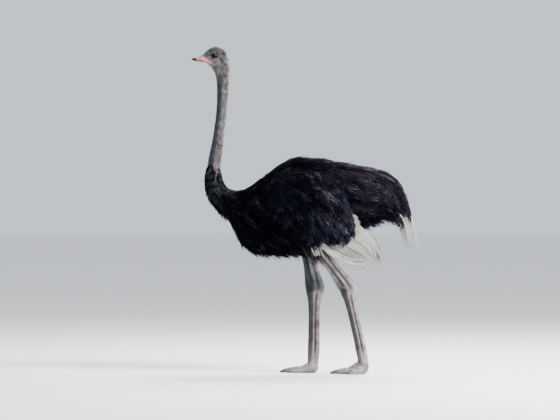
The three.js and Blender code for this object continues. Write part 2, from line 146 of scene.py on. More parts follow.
def staged(stages: Sequence, key: str, at: Array | float) -> Array:
    """One column of a table of stages, at station numbers between its rows."""
    return np.interp(at, [stage.at for stage in stages], [getattr(stage, key) for stage in stages])


def rows_of(kind: type, *rows: Sequence) -> tuple:
    """A table with each row of values made into one kind of object."""
    return tuple(kind(*row) for row in rows)


class Ripple:
    """A smooth random pattern in space, as a sum of waves."""

    def __init__(self, seed: int, size: float, waves: int = 9) -> None:
        """Draw the waves.

        Args:
            seed: Seed of the draw.
            size: Rough distance between two peaks, in metres.
            waves: How many waves are added up.
        """
        draw = np.random.default_rng(seed)
        heading = unit(draw.normal(size=(waves, 3)))
        self.waves = heading * (2 * math.pi / size) * draw.uniform(0.6, 1.5, (waves, 1))
        self.phase = draw.uniform(0, 2 * math.pi, waves)

    def at(self, points: Array) -> Array:
        """The pattern's value at points, mostly between -1 and 1."""
        total = np.sin(points @ self.waves.T + self.phase).sum(-1)
        return total / math.sqrt(len(self.phase))


# --- Lofts: the surfaces that the solids are made from ---


@dataclass(frozen=True)
class Station:
    """One ring of a loft: a and b are the ends of its long axis, w its half thickness, in millimetres.

    low moves the widest place towards b where it is positive, and box makes the ring squarer below 1.
    """

    a: Point
    b: Point
    w: float
    low: float = 0.0
    box: float = 1.0


def plane_stations(*rows: Sequence[float]) -> tuple[Station, ...]:
    """Stations in the plane of symmetry, from x and z of a, x and z of b, w, low and box."""
    return tuple(Station((ax, 0.0, az), (bx, 0.0, bz), *sizes) for ax, az, bx, bz, *sizes in rows)


@dataclass
class SurfaceFrame:
    """Places on a loft with the directions there."""

    place: Array
    normal: Array
    along: Array
    around: Array
    per_station: Array
    per_radian: Array


class Loft:
    """A smooth surface through stations."""

    HEADING_STEP = 0.02
    THINNEST = 0.15

    def __init__(self, stations: Sequence[Station], relief: Callable | None = None) -> None:
        """Read the stations.

        Args:
            stations: The rings, in order.
            relief: A height over the plain surface, from station numbers and angles, in metres.
        """
        self.ends_a = np.array([s.a for s in stations]) * MM
        self.ends_b = np.array([s.b for s in stations]) * MM
        self.shapes = np.array([(s.w * MM, s.low, s.box) for s in stations])
        self.last = len(stations) - 1
        self.relief = relief

    def centre(self, at: Array) -> Array:
        """The middle of the ring at station numbers."""
        inside = np.clip(at, 0, self.last)
        return (follow(self.ends_a, inside) + follow(self.ends_b, inside)) / 2

    def heading(self, at: Array) -> Array:
        """The direction of the centre line at station numbers."""
        return unit(self.centre(at + self.HEADING_STEP) - self.centre(at - self.HEADING_STEP))

    def point(self, at: Array, angle: Array, rise: Array | float = 0.0) -> Array:
        """Points of the surface.

        Args:
            at: Station numbers. Past the last one the surface runs straight on.
            angle: Radians round the ring: 0 is one side and a quarter turn is end a.
            rise: Height over the surface, in metres.

        Returns:
            The points, with one more axis than the arguments.
        """
        at, angle, rise = np.broadcast_arrays(np.asarray(at, float), angle, rise)
        inside = np.clip(at, 0, self.last)
        a = follow(self.ends_a, inside)
        b = follow(self.ends_b, inside)
        shape = follow(self.shapes, inside)
        w, low, box = shape[..., 0], shape[..., 1], shape[..., 2]
        half = length_of(a - b) / 2
        up = unit(a - b)
        heading = self.heading(inside)
        across = unit(np.cross(heading, up))
        c = np.cos(angle)
        s = np.sin(angle)
        out = rise + (self.relief(inside, angle) if self.relief else 0.0)
        wide = np.sign(c) * np.abs(c) ** box * (1 - low * s) * np.maximum(w + out, self.THINNEST * w)
        tall = np.sign(s) * np.abs(s) ** box * np.maximum(half + out, self.THINNEST * half)
        end = np.array([self.last - 0.5, float(self.last)])
        stride = 2 * length_of(np.diff(self.centre(end), axis=0))[0]
        past = (at - inside) * stride
        return ((a + b) / 2 + heading * past[..., None] + across * wide[..., None] + up * tall[..., None])

    def frame(self, at: Array, angle: Array, rise: Array | float = 0.0) -> SurfaceFrame:
        """Points of the surface with their normals and the directions along and around it.

        Args:
            at: Station numbers.
            angle: Angles round the ring, in radians.
            rise: Height over the surface, in metres.

        Returns:
            The places and the directions there.
        """
        step = 0.02
        place = self.point(at, angle, rise)
        along = (self.point(at + step, angle, rise) - self.point(at - step, angle, rise)) / (2 * step)
        around = (self.point(at, angle + step, rise) - self.point(at, angle - step, rise)) / (2 * step)
        normal = unit(np.cross(along, around))
        per_station = np.maximum(length_of(along), 1e-5)
        per_radian = np.maximum(length_of(around), 1e-5)
        return SurfaceFrame(place, normal, unit(along), unit(around), per_station, per_radian)

    def arc_length(self, at: Array) -> Array:
        """Distance along the centre line from the first station to each station number.

        Args:
            at: Station numbers.

        Returns:
            The distances, in metres.
        """
        fine = np.linspace(0, self.last, 40 * self.last + 1)
        steps = length_of(np.diff(self.centre(fine), axis=0))
        return np.interp(at, fine, np.concatenate([[0.0], np.cumsum(steps)]))


BODY_STATIONS = plane_stations(
    (-681, 2092, -673, 2055, 26, 0.15),  # 0 base of the bill
    (-658, 2112, -655, 2046, 30, 0.1),  # 1 forehead
    (-630, 2130, -638, 2036, 34),  # 2 brow
    (-596, 2142, -627, 2025, 37),  # 3 eye
    (-563, 2141, -616, 2013, 38),  # 4 crown
    (-532, 2119, -607, 2001, 37),  # 5 nape
    (-512, 2079, -598, 1985, 35),  # 6 ear
    (-502, 2026, -590, 1964, 34),  # 7 throat
    (-501, 1967, -582, 1930, 33),  # 8
    (-503, 1881, -580, 1868, 33),  # 9
    (-510, 1775, -582, 1775, 33),  # 10
    (-520, 1670, -590, 1676, 34),  # 11
    (-533, 1571, -603, 1584, 35),  # 12
    (-539, 1485, -619, 1498, 38),  # 13
    (-549, 1412, -637, 1419, 42),  # 14
    (-551, 1346, -652, 1340, 48),  # 15 top of the black feathers
    (-535, 1277, -658, 1261, 58),  # 16
    (-507, 1228, -650, 1185, 72),  # 17 root of the neck
    (-470, 1208, -619, 1119, 92),  # 18
    (-420, 1207, -556, 1043, 124),  # 19
    (-361, 1232, -480, 947, 160, 0.05, 0.9),  # 20 breast
    (-293, 1279, -421, 842, 194, 0.08, 0.9),  # 21
    (-216, 1342, -328, 768, 220, 0.08, 0.9),  # 22
    (-125, 1403, -190, 756, 238, 0.05, 0.9),  # 23
    (-28, 1428, -41, 758, 246, 0, 0.9),  # 24 highest point of the back
    (91, 1420, 104, 787, 244, 0, 0.9),  # 25
    (223, 1395, 236, 858, 230, 0, 0.9),  # 26
    (355, 1373, 368, 946, 206, 0, 0.9),  # 27
    (474, 1350, 467, 985, 176, 0, 0.9),  # 28
    (552, 1325, 530, 1012, 152, 0, 0.9),  # 29 root of the tail
    (614, 1276, 563, 1008, 130, 0, 0.9),  # 30
    (658, 1203, 599, 1007, 104, 0, 0.9),  # 31
    (690, 1124, 642, 1012, 74, 0, 0.9),  # 32
    (710, 1060, 686, 1028, 40, 0, 0.9),  # 33 tip of the black tail feathers
)

NECK_START = 7.0
NECK_ROOT = 17.0
SKIN_END = 30.4  # the flesh ends in the rump

# Depth of the coat between the skin and the tips of the feathers, in millimetres, by station.
COAT_DEPTH = (
    (0.0, 1.0), (1.0, 2.0), (4.0, 4.0), (7.0, 6.0), (13.5, 7.0), (14.5, 10.0), (16.0, 20.0),
    (18.0, 32.0), (21.0, 44.0), (28.0, 50.0), (33.0, 56.0),
)


@dataclass(frozen=True)
class SkullForm:
    """A round swelling or hollow of the skull."""

    at: float
    angle: float
    along: float
    around: float
    rise: float


SKULL_FORMS = rows_of(
    SkullForm,
    (3.0, 38, 1.0, 20, 5),  # brow ridge
    (1.6, 14, 0.8, 22, -4),  # lores
    (3.9, -34, 1.1, 22, 3),  # cheek
    (5.4, 14, 0.7, 18, -3),  # hollow behind the eye
    (6.2, -18, 0.7, 20, 3),  # jaw corner
)


def skull_relief(at: Array, angle: Array) -> Array:
    """Height of the skull's swellings and hollows, in metres.

    Args:
        at: Station numbers.
        angle: Angles round the ring, in radians.

    Returns:
        The height over the plain skull.
    """
    side = tilt_of(angle)
    total = np.zeros_like(at)
    for form in SKULL_FORMS:
        total = total + form.rise * bump(at, form.at, form.along) * bump(side, form.angle, form.around)
    return total * MM


def coat_depth(at: Array) -> Array:
    """Depth of the coat over the skin at station numbers of the body, in metres."""
    stations, depths = zip(*COAT_DEPTH)
    return np.interp(at, stations, depths) * MM


UPPER_BILL = Loft(
    plane_stations(
        (-664, 2099, -660, 2057, 24, 0.4, 0.85),
        (-681, 2091, -677, 2059, 26, 0.5, 0.85),
        (-696, 2085, -694, 2061, 23, 0.5, 0.85),
        (-713, 2080.5, -711, 2062.5, 20, 0.45, 0.85),
        (-729, 2079, -728, 2064.5, 16.5, 0.3, 0.9),
        (-739, 2076, -739, 2065.5, 12, 0.2, 0.95),
        (-744.5, 2071.5, -744.5, 2066.5, 6, 0),
    )
)
LOWER_BILL = Loft(
    plane_stations(
        (-662, 2056.2, -660, 2043, 23, -0.3, 0.9),
        (-677, 2058.2, -674, 2048, 23.5, -0.3, 0.9),
        (-694, 2060.2, -692, 2052.5, 20.5, -0.3, 0.9),
        (-711, 2061.8, -710, 2056.2, 17.5, -0.3, 0.9),
        (-727, 2063.8, -726, 2059.8, 13.5, -0.2, 0.95),
        (-737, 2064.8, -736.5, 2062.2, 8, 0),
    )
)


@dataclass(frozen=True)
class EyePlace:
    """The eyeball and the opening of its lids, in metres."""

    x: float = -0.592
    y: float = 0.0225
    z: float = 2.089
    radius: float = 0.021
    half_long: float = 0.0185
    half_high: float = 0.0138
    tilt: float = math.radians(-9)

    def opening(self, x: Array, z: Array) -> tuple[Array, Array]:
        """Distance from the eye in lid openings, and height in the eye's own upright.

        Args:
            x: Places along the bird.
            z: Heights.

        Returns:
            1 on the rim of the lids and less inside it; and the height over the eye's long axis.
        """
        dx = x - self.x
        dz = z - self.z
        long = dx * math.cos(self.tilt) + dz * math.sin(self.tilt)
        high = dz * math.cos(self.tilt) - dx * math.sin(self.tilt)
        return np.hypot(long / self.half_long, high / self.half_high), high

    def rim(self, side: Side, turn: Array, rise: float) -> Array:
        """Points along the rim of the lids.

        Args:
            side: Which eye.
            turn: Angles round the opening, from its rear corner over the top.
            rise: Height over the ball.

        Returns:
            The points.
        """
        long = self.half_long * np.cos(turn)
        high = self.half_high * np.sin(turn)
        x = self.x + long * math.cos(self.tilt) - high * math.sin(self.tilt)
        z = self.z + long * math.sin(self.tilt) + high * math.cos(self.tilt)
        return stacked(x, side.value * (self.ball(x, z) + rise), z)

    def ball(self, x: Array, z: Array) -> Array:
        """How far the ball's surface lies from the middle plane at x and z."""
        across = (x - self.x) ** 2 + (z - self.z) ** 2
        return self.y + np.sqrt(np.maximum(self.radius**2 - across, 0.0))


EYE = EyePlace()
EAR = (-0.526, 2.040)
GAPE = ((-0.676, 2.0565), (-0.600, 2.0440))  # the line where the jaws part, bill to corner

SHANK = 530.0
TARSUS = 490.0
TOE_HEIGHT = 74.0
OUTER_TOE_SPLAY = 27.0
OUTER_TOE_OFFSET = 16
SOLE_SINK = 5.0


@dataclass(frozen=True)
class BoneSection:
    """Half sizes of the leg in front, behind and to the side at a share of a bone's length."""

    share: float
    front: float
    back: float
    side: float


SHANK_PROFILE = rows_of(
    BoneSection,
    (-0.11, 36, 36, 32), (-0.02, 80, 74, 62), (0.1, 94, 86, 70), (0.27, 76, 74, 60), (0.43, 54, 57, 47),
    (0.57, 44, 46, 38), (0.7, 43, 46, 34), (0.82, 50, 54, 36), (0.94, 58, 62, 41), (1.0, 59, 62, 43),
)
TARSUS_PROFILE = rows_of(
    BoneSection,
    (0.07, 53, 53, 41), (0.16, 43, 42, 34), (0.35, 37, 37, 29), (0.6, 36, 37, 27), (0.82, 38, 39, 30),
)
TARSUS_END = 15.2
LIMB_END = 21.0


@dataclass(frozen=True)
class ToeSection:
    """A ring of the middle toe: distance ahead of the joint and share of its height, over and under."""

    top: tuple[float, float]
    under: tuple[float, float]
    side: float


MIDDLE_TOE = rows_of(
    ToeSection,
    ((40, 1.06), (-34, 0.8), 36), ((56, 0.9), (-30, 0.25), 38), ((78, 0.7), (4, -0.06), 38),
    ((104, 0.6), (62, -0.07), 35), ((132, 0.56), (110, -0.07), 33), ((158, 0.5), (148, -0.07), 30),
    ((176, 0.36), (174, -0.04), 23),
)
OUTER_TOE = ((8, 60, 26), (40, 52, 26), (72, 42, 24), (100, 36, 22), (118, 26, 15))
CLAW = ((142, 26, 6, 15), (168, 31, 4, 14), (194, 26, 2, 11), (214, 15, 1.5, 7), (226, 6, 1.5, 3))


@dataclass(frozen=True)
class LegPose:
    """How one leg stands. Angles are in degrees from the vertical; the rest is in millimetres."""

    ankle: Point
    shank_lean: float
    shank_spread: float
    tarsus_lean: float
    foot: float
    toe_turn: float
    depth: float


LEG_POSES = {
    Side.LEFT: LegPose((285, -132, 561), 36.5, -28, 12.3, -106, -4, 0.96),
    Side.RIGHT: LegPose((71, 62, 555), 11.5, 84, -1.2, 18, 3, 1.06),
}


class LegShape:
    """The lofts of one leg: knee to middle toe, outer toe and claw."""

    def __init__(self, side: Side) -> None:
        """Stand the bones of the leg.

        Args:
            side: Which side of the bird.
        """
        self.side = side
        self.pose = LEG_POSES[side]
        x, y, z = self.pose.ankle
        lift = math.sqrt(SHANK**2 - self.pose.shank_spread**2)
        drop = math.sqrt(TARSUS**2 - (y - self.pose.foot) ** 2)
        shank = math.radians(self.pose.shank_lean)
        tarsus = math.radians(self.pose.tarsus_lean)
        self.knee = (x - lift * math.sin(shank), y + self.pose.shank_spread, z + lift * math.cos(shank))
        self.joint = (x + drop * math.sin(tarsus), self.pose.foot, z - drop * math.cos(tarsus))

    def ring(self, centre: Sequence[float], lean: float, section: BoneSection) -> Station:
        """A ring of the leg at right angles to its bone.

        Args:
            centre: Its middle, in millimetres.
            lean: The bone's lean, in degrees.
            section: Its half sizes.

        Returns:
            The ring.
        """
        angle = math.radians(lean)
        ahead = (-math.cos(angle), 0.0, -math.sin(angle))
        front = section.front * self.pose.depth
        back = section.back * self.pose.depth
        a = tuple(c + d * front for c, d in zip(centre, ahead))
        b = tuple(c - d * back for c, d in zip(centre, ahead))
        return Station(a, b, section.side)

    def floor_point(self, ahead: float, aside: float, height: float, turn: float) -> tuple:
        """A point of the foot, ahead of the toe joint along a direction on the floor.

        Args:
            ahead: Distance from the joint.
            aside: Shift to the bird's right.
            height: Height over the floor.
            turn: The way ahead, in degrees off straight.

        Returns:
            The point, in millimetres.
        """
        angle = math.radians(turn)
        x = self.joint[0] - ahead * math.cos(angle)
        y = self.joint[1] + ahead * math.sin(angle) + aside
        return (x, y, height)

    def on_foot(self, place: tuple[float, float]) -> tuple:
        """A point of the middle toe from a distance ahead and a share of the joint's height.

        Args:
            place: The distance and the share.

        Returns:
            The point, in millimetres.
        """
        ahead, share = place
        height = share * (self.joint[2] if share > 0.6 else TOE_HEIGHT)
        return self.floor_point(ahead, 0, height, self.pose.toe_turn)

    def limb(self, relief: Callable | None = None) -> Loft:
        """The loft from the knee to the end of the middle toe.

        Args:
            relief: A height over the plain surface, as for Loft.

        Returns:
            The loft.
        """
        rings = []
        for section in SHANK_PROFILE:
            bent = float(smooth(np.array(section.share), 0.82, 1.08))
            lean = self.pose.shank_lean + (self.pose.tarsus_lean - self.pose.shank_lean) * bent
            centre = [k + (a - k) * section.share for k, a in zip(self.knee, self.pose.ankle)]
            rings.append(self.ring(centre, lean, section))
        for section in TARSUS_PROFILE:
            centre = [a + (j - a) * section.share for a, j in zip(self.pose.ankle, self.joint)]
            rings.append(self.ring(centre, self.pose.tarsus_lean, section))
        for toe in MIDDLE_TOE:
            rings.append(Station(self.on_foot(toe.top), self.on_foot(toe.under), toe.side, 0, 0.85))
        return Loft(rings, relief)

    def outer_toe(self, relief: Callable | None = None) -> Loft:
        """The loft of the small outer toe.

        Args:
            relief: A height over the plain surface, as for Loft.

        Returns:
            The loft.
        """
        turn = self.pose.toe_turn + self.side.value * OUTER_TOE_SPLAY
        aside = self.side.value * OUTER_TOE_OFFSET
        rings = [
            Station(
                self.floor_point(at, aside, top, turn),
                self.floor_point(at, aside, -SOLE_SINK, turn),
                side,
                0,
                0.85,
            )
            for at, top, side in OUTER_TOE
        ]
        return Loft(rings, relief)

    def claw(self) -> Loft:
        """The loft of the middle toe's claw.

        Returns:
            The loft.
        """
        turn = self.pose.toe_turn
        rings = [
            Station(self.floor_point(at, 0, top, turn), self.floor_point(at, 0, under, turn), side, 0.15)
            for at, top, under, side in CLAW
        ]
        return Loft(rings)


# The folded wing, shoulder to tip: upper edge, lower edge and half thickness. y is for the right wing.
WING_STATIONS = (
    ((-266, 158, 1240), (-298, 164, 1150), 26),
    ((-193, 172, 1320), (-238, 196, 998), 52),
    ((-86, 182, 1350), (-118, 214, 882), 64),
    ((48, 184, 1338), (30, 222, 840), 68),
    ((168, 184, 1288), (155, 222, 833), 64),
    ((256, 190, 1202), (236, 216, 832), 52),
    ((300, 198, 1104), (282, 212, 858), 38),
    ((324, 204, 1012), (308, 210, 918), 18),
)
WING_DEPTH = 0.026

# The flank under a wing needs no feathers between these x, this far inside the wing's edges.
COVERED_FROM = -190
COVERED_TO = 250
COVER_MARGIN = 45
COVER_SIDE = 0.10


def wing_loft(side: Side) -> Loft:
    """The loft of one folded wing.

    Args:
        side: Which side of the bird.

    Returns:
        The loft, from the shoulder to the tip.
    """
    hand = side.value
    return Loft(
        [
            Station((a[0], hand * a[1], a[2]), (b[0], hand * b[1], b[2]), thick, 0.15)
            for a, b, thick in WING_STATIONS
        ]
    )


# --- Meshes ---


def in_scene(name: str, data: bpy.types.ID) -> Piece:
    """A new object of some data, linked to the scene.

    Args:
        name: Its name.
        data: Its mesh, lamp or camera.

    Returns:
        The object.
    """
    piece = bpy.data.objects.new(name, data)
    bpy.context.scene.collection.objects.link(piece)
    return piece


@dataclass
class MeshData:
    """Arrays of a mesh: points, faces of three and of four corners, bake places and values at points."""

    points: Array
    triangles: Array
    quads: Array
    places: Array | None = None
    values: dict[str, Array] = field(default_factory=dict)

    def to_object(self, name: str, material: Material | None = None) -> Piece:
        """Make a Blender object of the arrays.

        Args:
            name: Name of the object and its mesh.
            material: Its finish.

        Returns:
            The object, linked to the scene, with smooth faces.
        """
        mesh = bpy.data.meshes.new(name)
        corners = np.concatenate([self.triangles.ravel(), self.quads.ravel()]).astype(np.int32)
        sizes = np.repeat([3, 4], [len(self.triangles), len(self.quads)])
        mesh.vertices.add(len(self.points))
        mesh.vertices.foreach_set("co", self.points.astype(np.float32).ravel())
        mesh.loops.add(len(corners))
        mesh.loops.foreach_set("vertex_index", corners)
        mesh.polygons.add(len(sizes))
        mesh.polygons.foreach_set("loop_start", (np.cumsum(sizes) - sizes).astype(np.int32))
        mesh.polygons.foreach_set("use_smooth", np.ones(len(sizes), bool))
        mesh.update(calc_edges=True)
        if self.places is not None:
            layer = mesh.uv_layers.new(name="OFBake")
            layer.data.foreach_set("uv", self.places[corners].astype(np.float32).ravel())
        for key, value in self.values.items():
            kind, slot = ("FLOAT", "value") if value.ndim == 1 else ("FLOAT_VECTOR", "vector")
            attribute = mesh.attributes.new(key, kind, "POINT")
            attribute.data.foreach_set(slot, value.astype(np.float32).ravel())
        mesh.validate()
        if material:
            mesh.materials.append(material)
        return in_scene(name, mesh)


def tube(rings: Array, **values: Array | float) -> MeshData:
    """A closed mesh over rings of points, each end closed by a fan round its middle.

    Args:
        rings: Points as ring by corner, turning so that faces look outwards.
        values: Numbers to store, as ring by corner or one for all.

    Returns:
        The mesh.
    """
    count, sides, _ = rings.shape
    index = np.arange(count * sides).reshape(count, sides)
    turned = np.roll(index, -1, axis=1)
    quads = stacked(index[:-1], index[1:], turned[1:], turned[:-1]).reshape(-1, 4)
    start = count * sides
    caps = [stacked(start, index[0], turned[0]), stacked(start + 1, turned[-1], index[-1])]
    points = np.concatenate([rings.reshape(-1, 3), [rings[0].mean(0)], [rings[-1].mean(0)]])
    data = MeshData(points, np.concatenate(caps), quads)
    for key, value in values.items():
        value = np.broadcast_to(value, (count, sides))
        data.values[key] = np.concatenate([value.ravel(), [value[0].mean(), value[-1].mean()]])
    return data


def outward(rings: Array) -> Array:
    """The rings of a tube, each turned the other way where its faces would look inwards.

    Args:
        rings: Points as ring by corner.

    Returns:
        The rings, in the same order.
    """
    around = np.roll(rings, -1, axis=1) - rings
    normals = np.cross(np.gradient(rings, axis=0), around)
    inward = (normals * (rings - rings.mean(1, keepdims=True))).sum() < 0
    return rings[:, ::-1] if inward else rings


def grid(at: Array, angles: Array) -> tuple[Array, Array]:
    """The station number and the angle of every corner of a loft's rings."""
    return np.meshgrid(at, angles, indexing="ij")


def stretches(*spans: tuple[float, float, int]) -> Array:
    """Places over stretches that follow each other, from the start, end and count of each."""
    parts = [np.linspace(*span) for span in spans]
    return np.concatenate([parts[0], *(part[1:] for part in parts[1:])])


def round_angles(sides: int) -> Array:
    """Even angles round a ring."""
    return np.arange(sides) * (2 * math.pi / sides)


def denser(start: float, end: float, count: int, density: Callable[[Array], Array]) -> Array:
    """Places between two ends that lie closer together where a density is high.

    Args:
        start: First place.
        end: Last place.
        count: Number of places.
        density: Relative number of places per unit.

    Returns:
        The places, in order.
    """
    fine = np.linspace(start, end, 4000)
    total = np.concatenate([[0.0], np.cumsum(density((fine[1:] + fine[:-1]) / 2))])
    return np.interp(np.linspace(0, total[-1], count), total, fine)


def unite(whole: Piece, others: Sequence[Piece]) -> Piece:
    """Join closed meshes into one surface.

    Args:
        whole: The piece that takes in the others.
        others: The pieces joined to it, which are removed.

    Returns:
        The joined piece.
    """
    for other in others:
        modifier = whole.modifiers.new("join", "BOOLEAN")
        modifier.operation = "UNION"
        modifier.solver = "MANIFOLD"
        modifier.object = other
    settle(whole)
    for other in others:
        bpy.data.objects.remove(other)
    return whole


def settle(piece: Piece) -> None:
    """Apply a piece's modifiers, and leave it with a plain mesh.

    Args:
        piece: The object.
    """
    depsgraph = bpy.context.evaluated_depsgraph_get()
    evaluated = piece.evaluated_get(depsgraph)
    mesh = bpy.data.meshes.new_from_object(evaluated, preserve_all_data_layers=True, depsgraph=depsgraph)
    piece.modifiers.clear()
    old = piece.data
    piece.data = mesh
    bpy.data.meshes.remove(old)
    mesh.name = piece.name


def points_of(mesh: bpy.types.Mesh) -> Array:
    """The points of a mesh as an array.

    Args:
        mesh: The mesh.

    Returns:
        One point to a row, in metres.
    """
    flat = np.empty(len(mesh.vertices) * 3, np.float32)
    mesh.vertices.foreach_get("co", flat)
    return flat.reshape(-1, 3).astype(float)


def hand_over(piece: Piece, slot: str, *nodes: str) -> Piece:
    """Ride a piece on the one body and hide the solids that it stands for.

    Args:
        piece: The piece.
        slot: The record's slot for its finish; not used.
        nodes: The solids that it replaces.

    Returns:
        The same piece.
    """
    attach(piece, "root")
    if nodes:
        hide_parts(*nodes)
    return piece


# --- Strands: closed, tapering ribbons that barbs, shafts and filaments are made of ---


@dataclass
class Strands:
    """Many strands, each along a row of points from root to tip.

    paths is strand by point, lifts the direction of each strand's face, widths the width at each point
    between root and tip, places the root's place on the bake map, and values are numbers for each strand.
    """

    paths: Array
    lifts: Array
    widths: Array
    places: Array
    values: dict[str, Array]

    THICKNESS = 0.42  # of the width

    def mesh(self) -> MeshData:
        """One closed spindle for each strand, with a ridged face and pointed ends.

        Returns:
            The mesh, with each strand's place on the bake map.
        """
        count, steps, _ = self.paths.shape
        inner = steps - 2
        ahead = unit(self.paths[:, 2:] - self.paths[:, :-2])
        lift = self.lifts[:, 1:-1]
        side = unit(np.cross(ahead, lift))
        lift = np.cross(side, ahead)
        half = self.widths[..., None] / 2
        centre = self.paths[:, 1:-1]
        ridge = lift * half * 2 * self.THICKNESS
        rings = np.stack([centre + side * half, centre + ridge, centre - side * half], axis=2)
        points = np.concatenate(
            [self.paths[:, :1], rings.reshape(count, inner * 3, 3), self.paths[:, -1:]], axis=1
        )
        size = inner * 3 + 2
        base = (np.arange(count) * size)[:, None, None]
        root, tip = 0, size - 1
        fans = []
        quads = []
        for k in range(3):
            follow_k = (k + 1) % 3
            fans.append([root, 1 + k, 1 + follow_k])
            fans.append([tip, tip - 3 + follow_k, tip - 3 + k])
            for i in range(inner - 1):
                low = 1 + 3 * i
                quads.append([low + k, low + 3 + k, low + 3 + follow_k, low + follow_k])
        triangles = (np.array(fans)[None] + base).reshape(-1, 3)
        corners = np.array(quads, int).reshape(-1, 4)
        squares = (corners[None] + base).reshape(-1, 4)
        share = np.linspace(0, 1, steps)
        span = np.concatenate([[0.0], np.repeat(share[1:-1], 3), [1.0]])
        across = np.concatenate([[0.5], np.tile([0.0, 0.5, 1.0], inner), [0.5]])
        local = (stacked(span, across) - 0.5) * PATCH
        places = (self.places[:, None] + local[None]).reshape(-1, 2)
        values = {key: np.repeat(value, size) for key, value in self.values.items()}
        values["span"] = np.tile(span, count)
        return MeshData(points.reshape(-1, 3), triangles, squares, places, values)


def gathered(lots: Sequence[MeshData]) -> MeshData:
    """Several meshes as one.

    Args:
        lots: The meshes, all with the same values.

    Returns:
        The one mesh.
    """
    starts = np.cumsum([0] + [len(lot.points) for lot in lots[:-1]])
    return MeshData(
        np.concatenate([lot.points for lot in lots]),
        np.concatenate([lot.triangles + start for lot, start in zip(lots, starts)]),
        np.concatenate([lot.quads + start for lot, start in zip(lots, starts)]),
        np.concatenate([lot.places for lot in lots]),
        {key: np.concatenate([lot.values[key] for lot in lots]) for key in lots[0].values},
    )


@dataclass
class Shafts:
    """The shafts of many feathers, as feather by point, with the direction each vane faces."""

    paths: Array
    faces: Array
    lengths: Array
    half_widths: Array
    places: Array
    values: dict[str, Array]

    def picked(self, mask: Array) -> Shafts:
        """Some of the shafts.

        Args:
            mask: True for those that are wanted.

        Returns:
            Their shafts.
        """
        rows = (self.paths, self.faces, self.lengths, self.half_widths, self.places)
        values = {key: value[mask] for key, value in self.values.items()}
        return Shafts(*(row[mask] for row in rows), values)

    def at(self, rows: Array, shares: Array) -> Array:
        """Values along each feather's row of points, run straight on past the tip.

        Args:
            rows: Feather by point by axis.
            shares: Feather by place, from 0 at the root to 1 at the tip.

        Returns:
            Feather by place by axis.
        """
        steps = rows.shape[1] - 1
        index = np.clip((shares * steps).astype(int), 0, steps - 1)
        rest = (shares * steps - index)[..., None]
        feather = np.arange(len(rows)).reshape((-1,) + (1,) * (shares.ndim - 1))
        return rows[feather, index] * (1 - rest) + rows[feather, index + 1] * rest


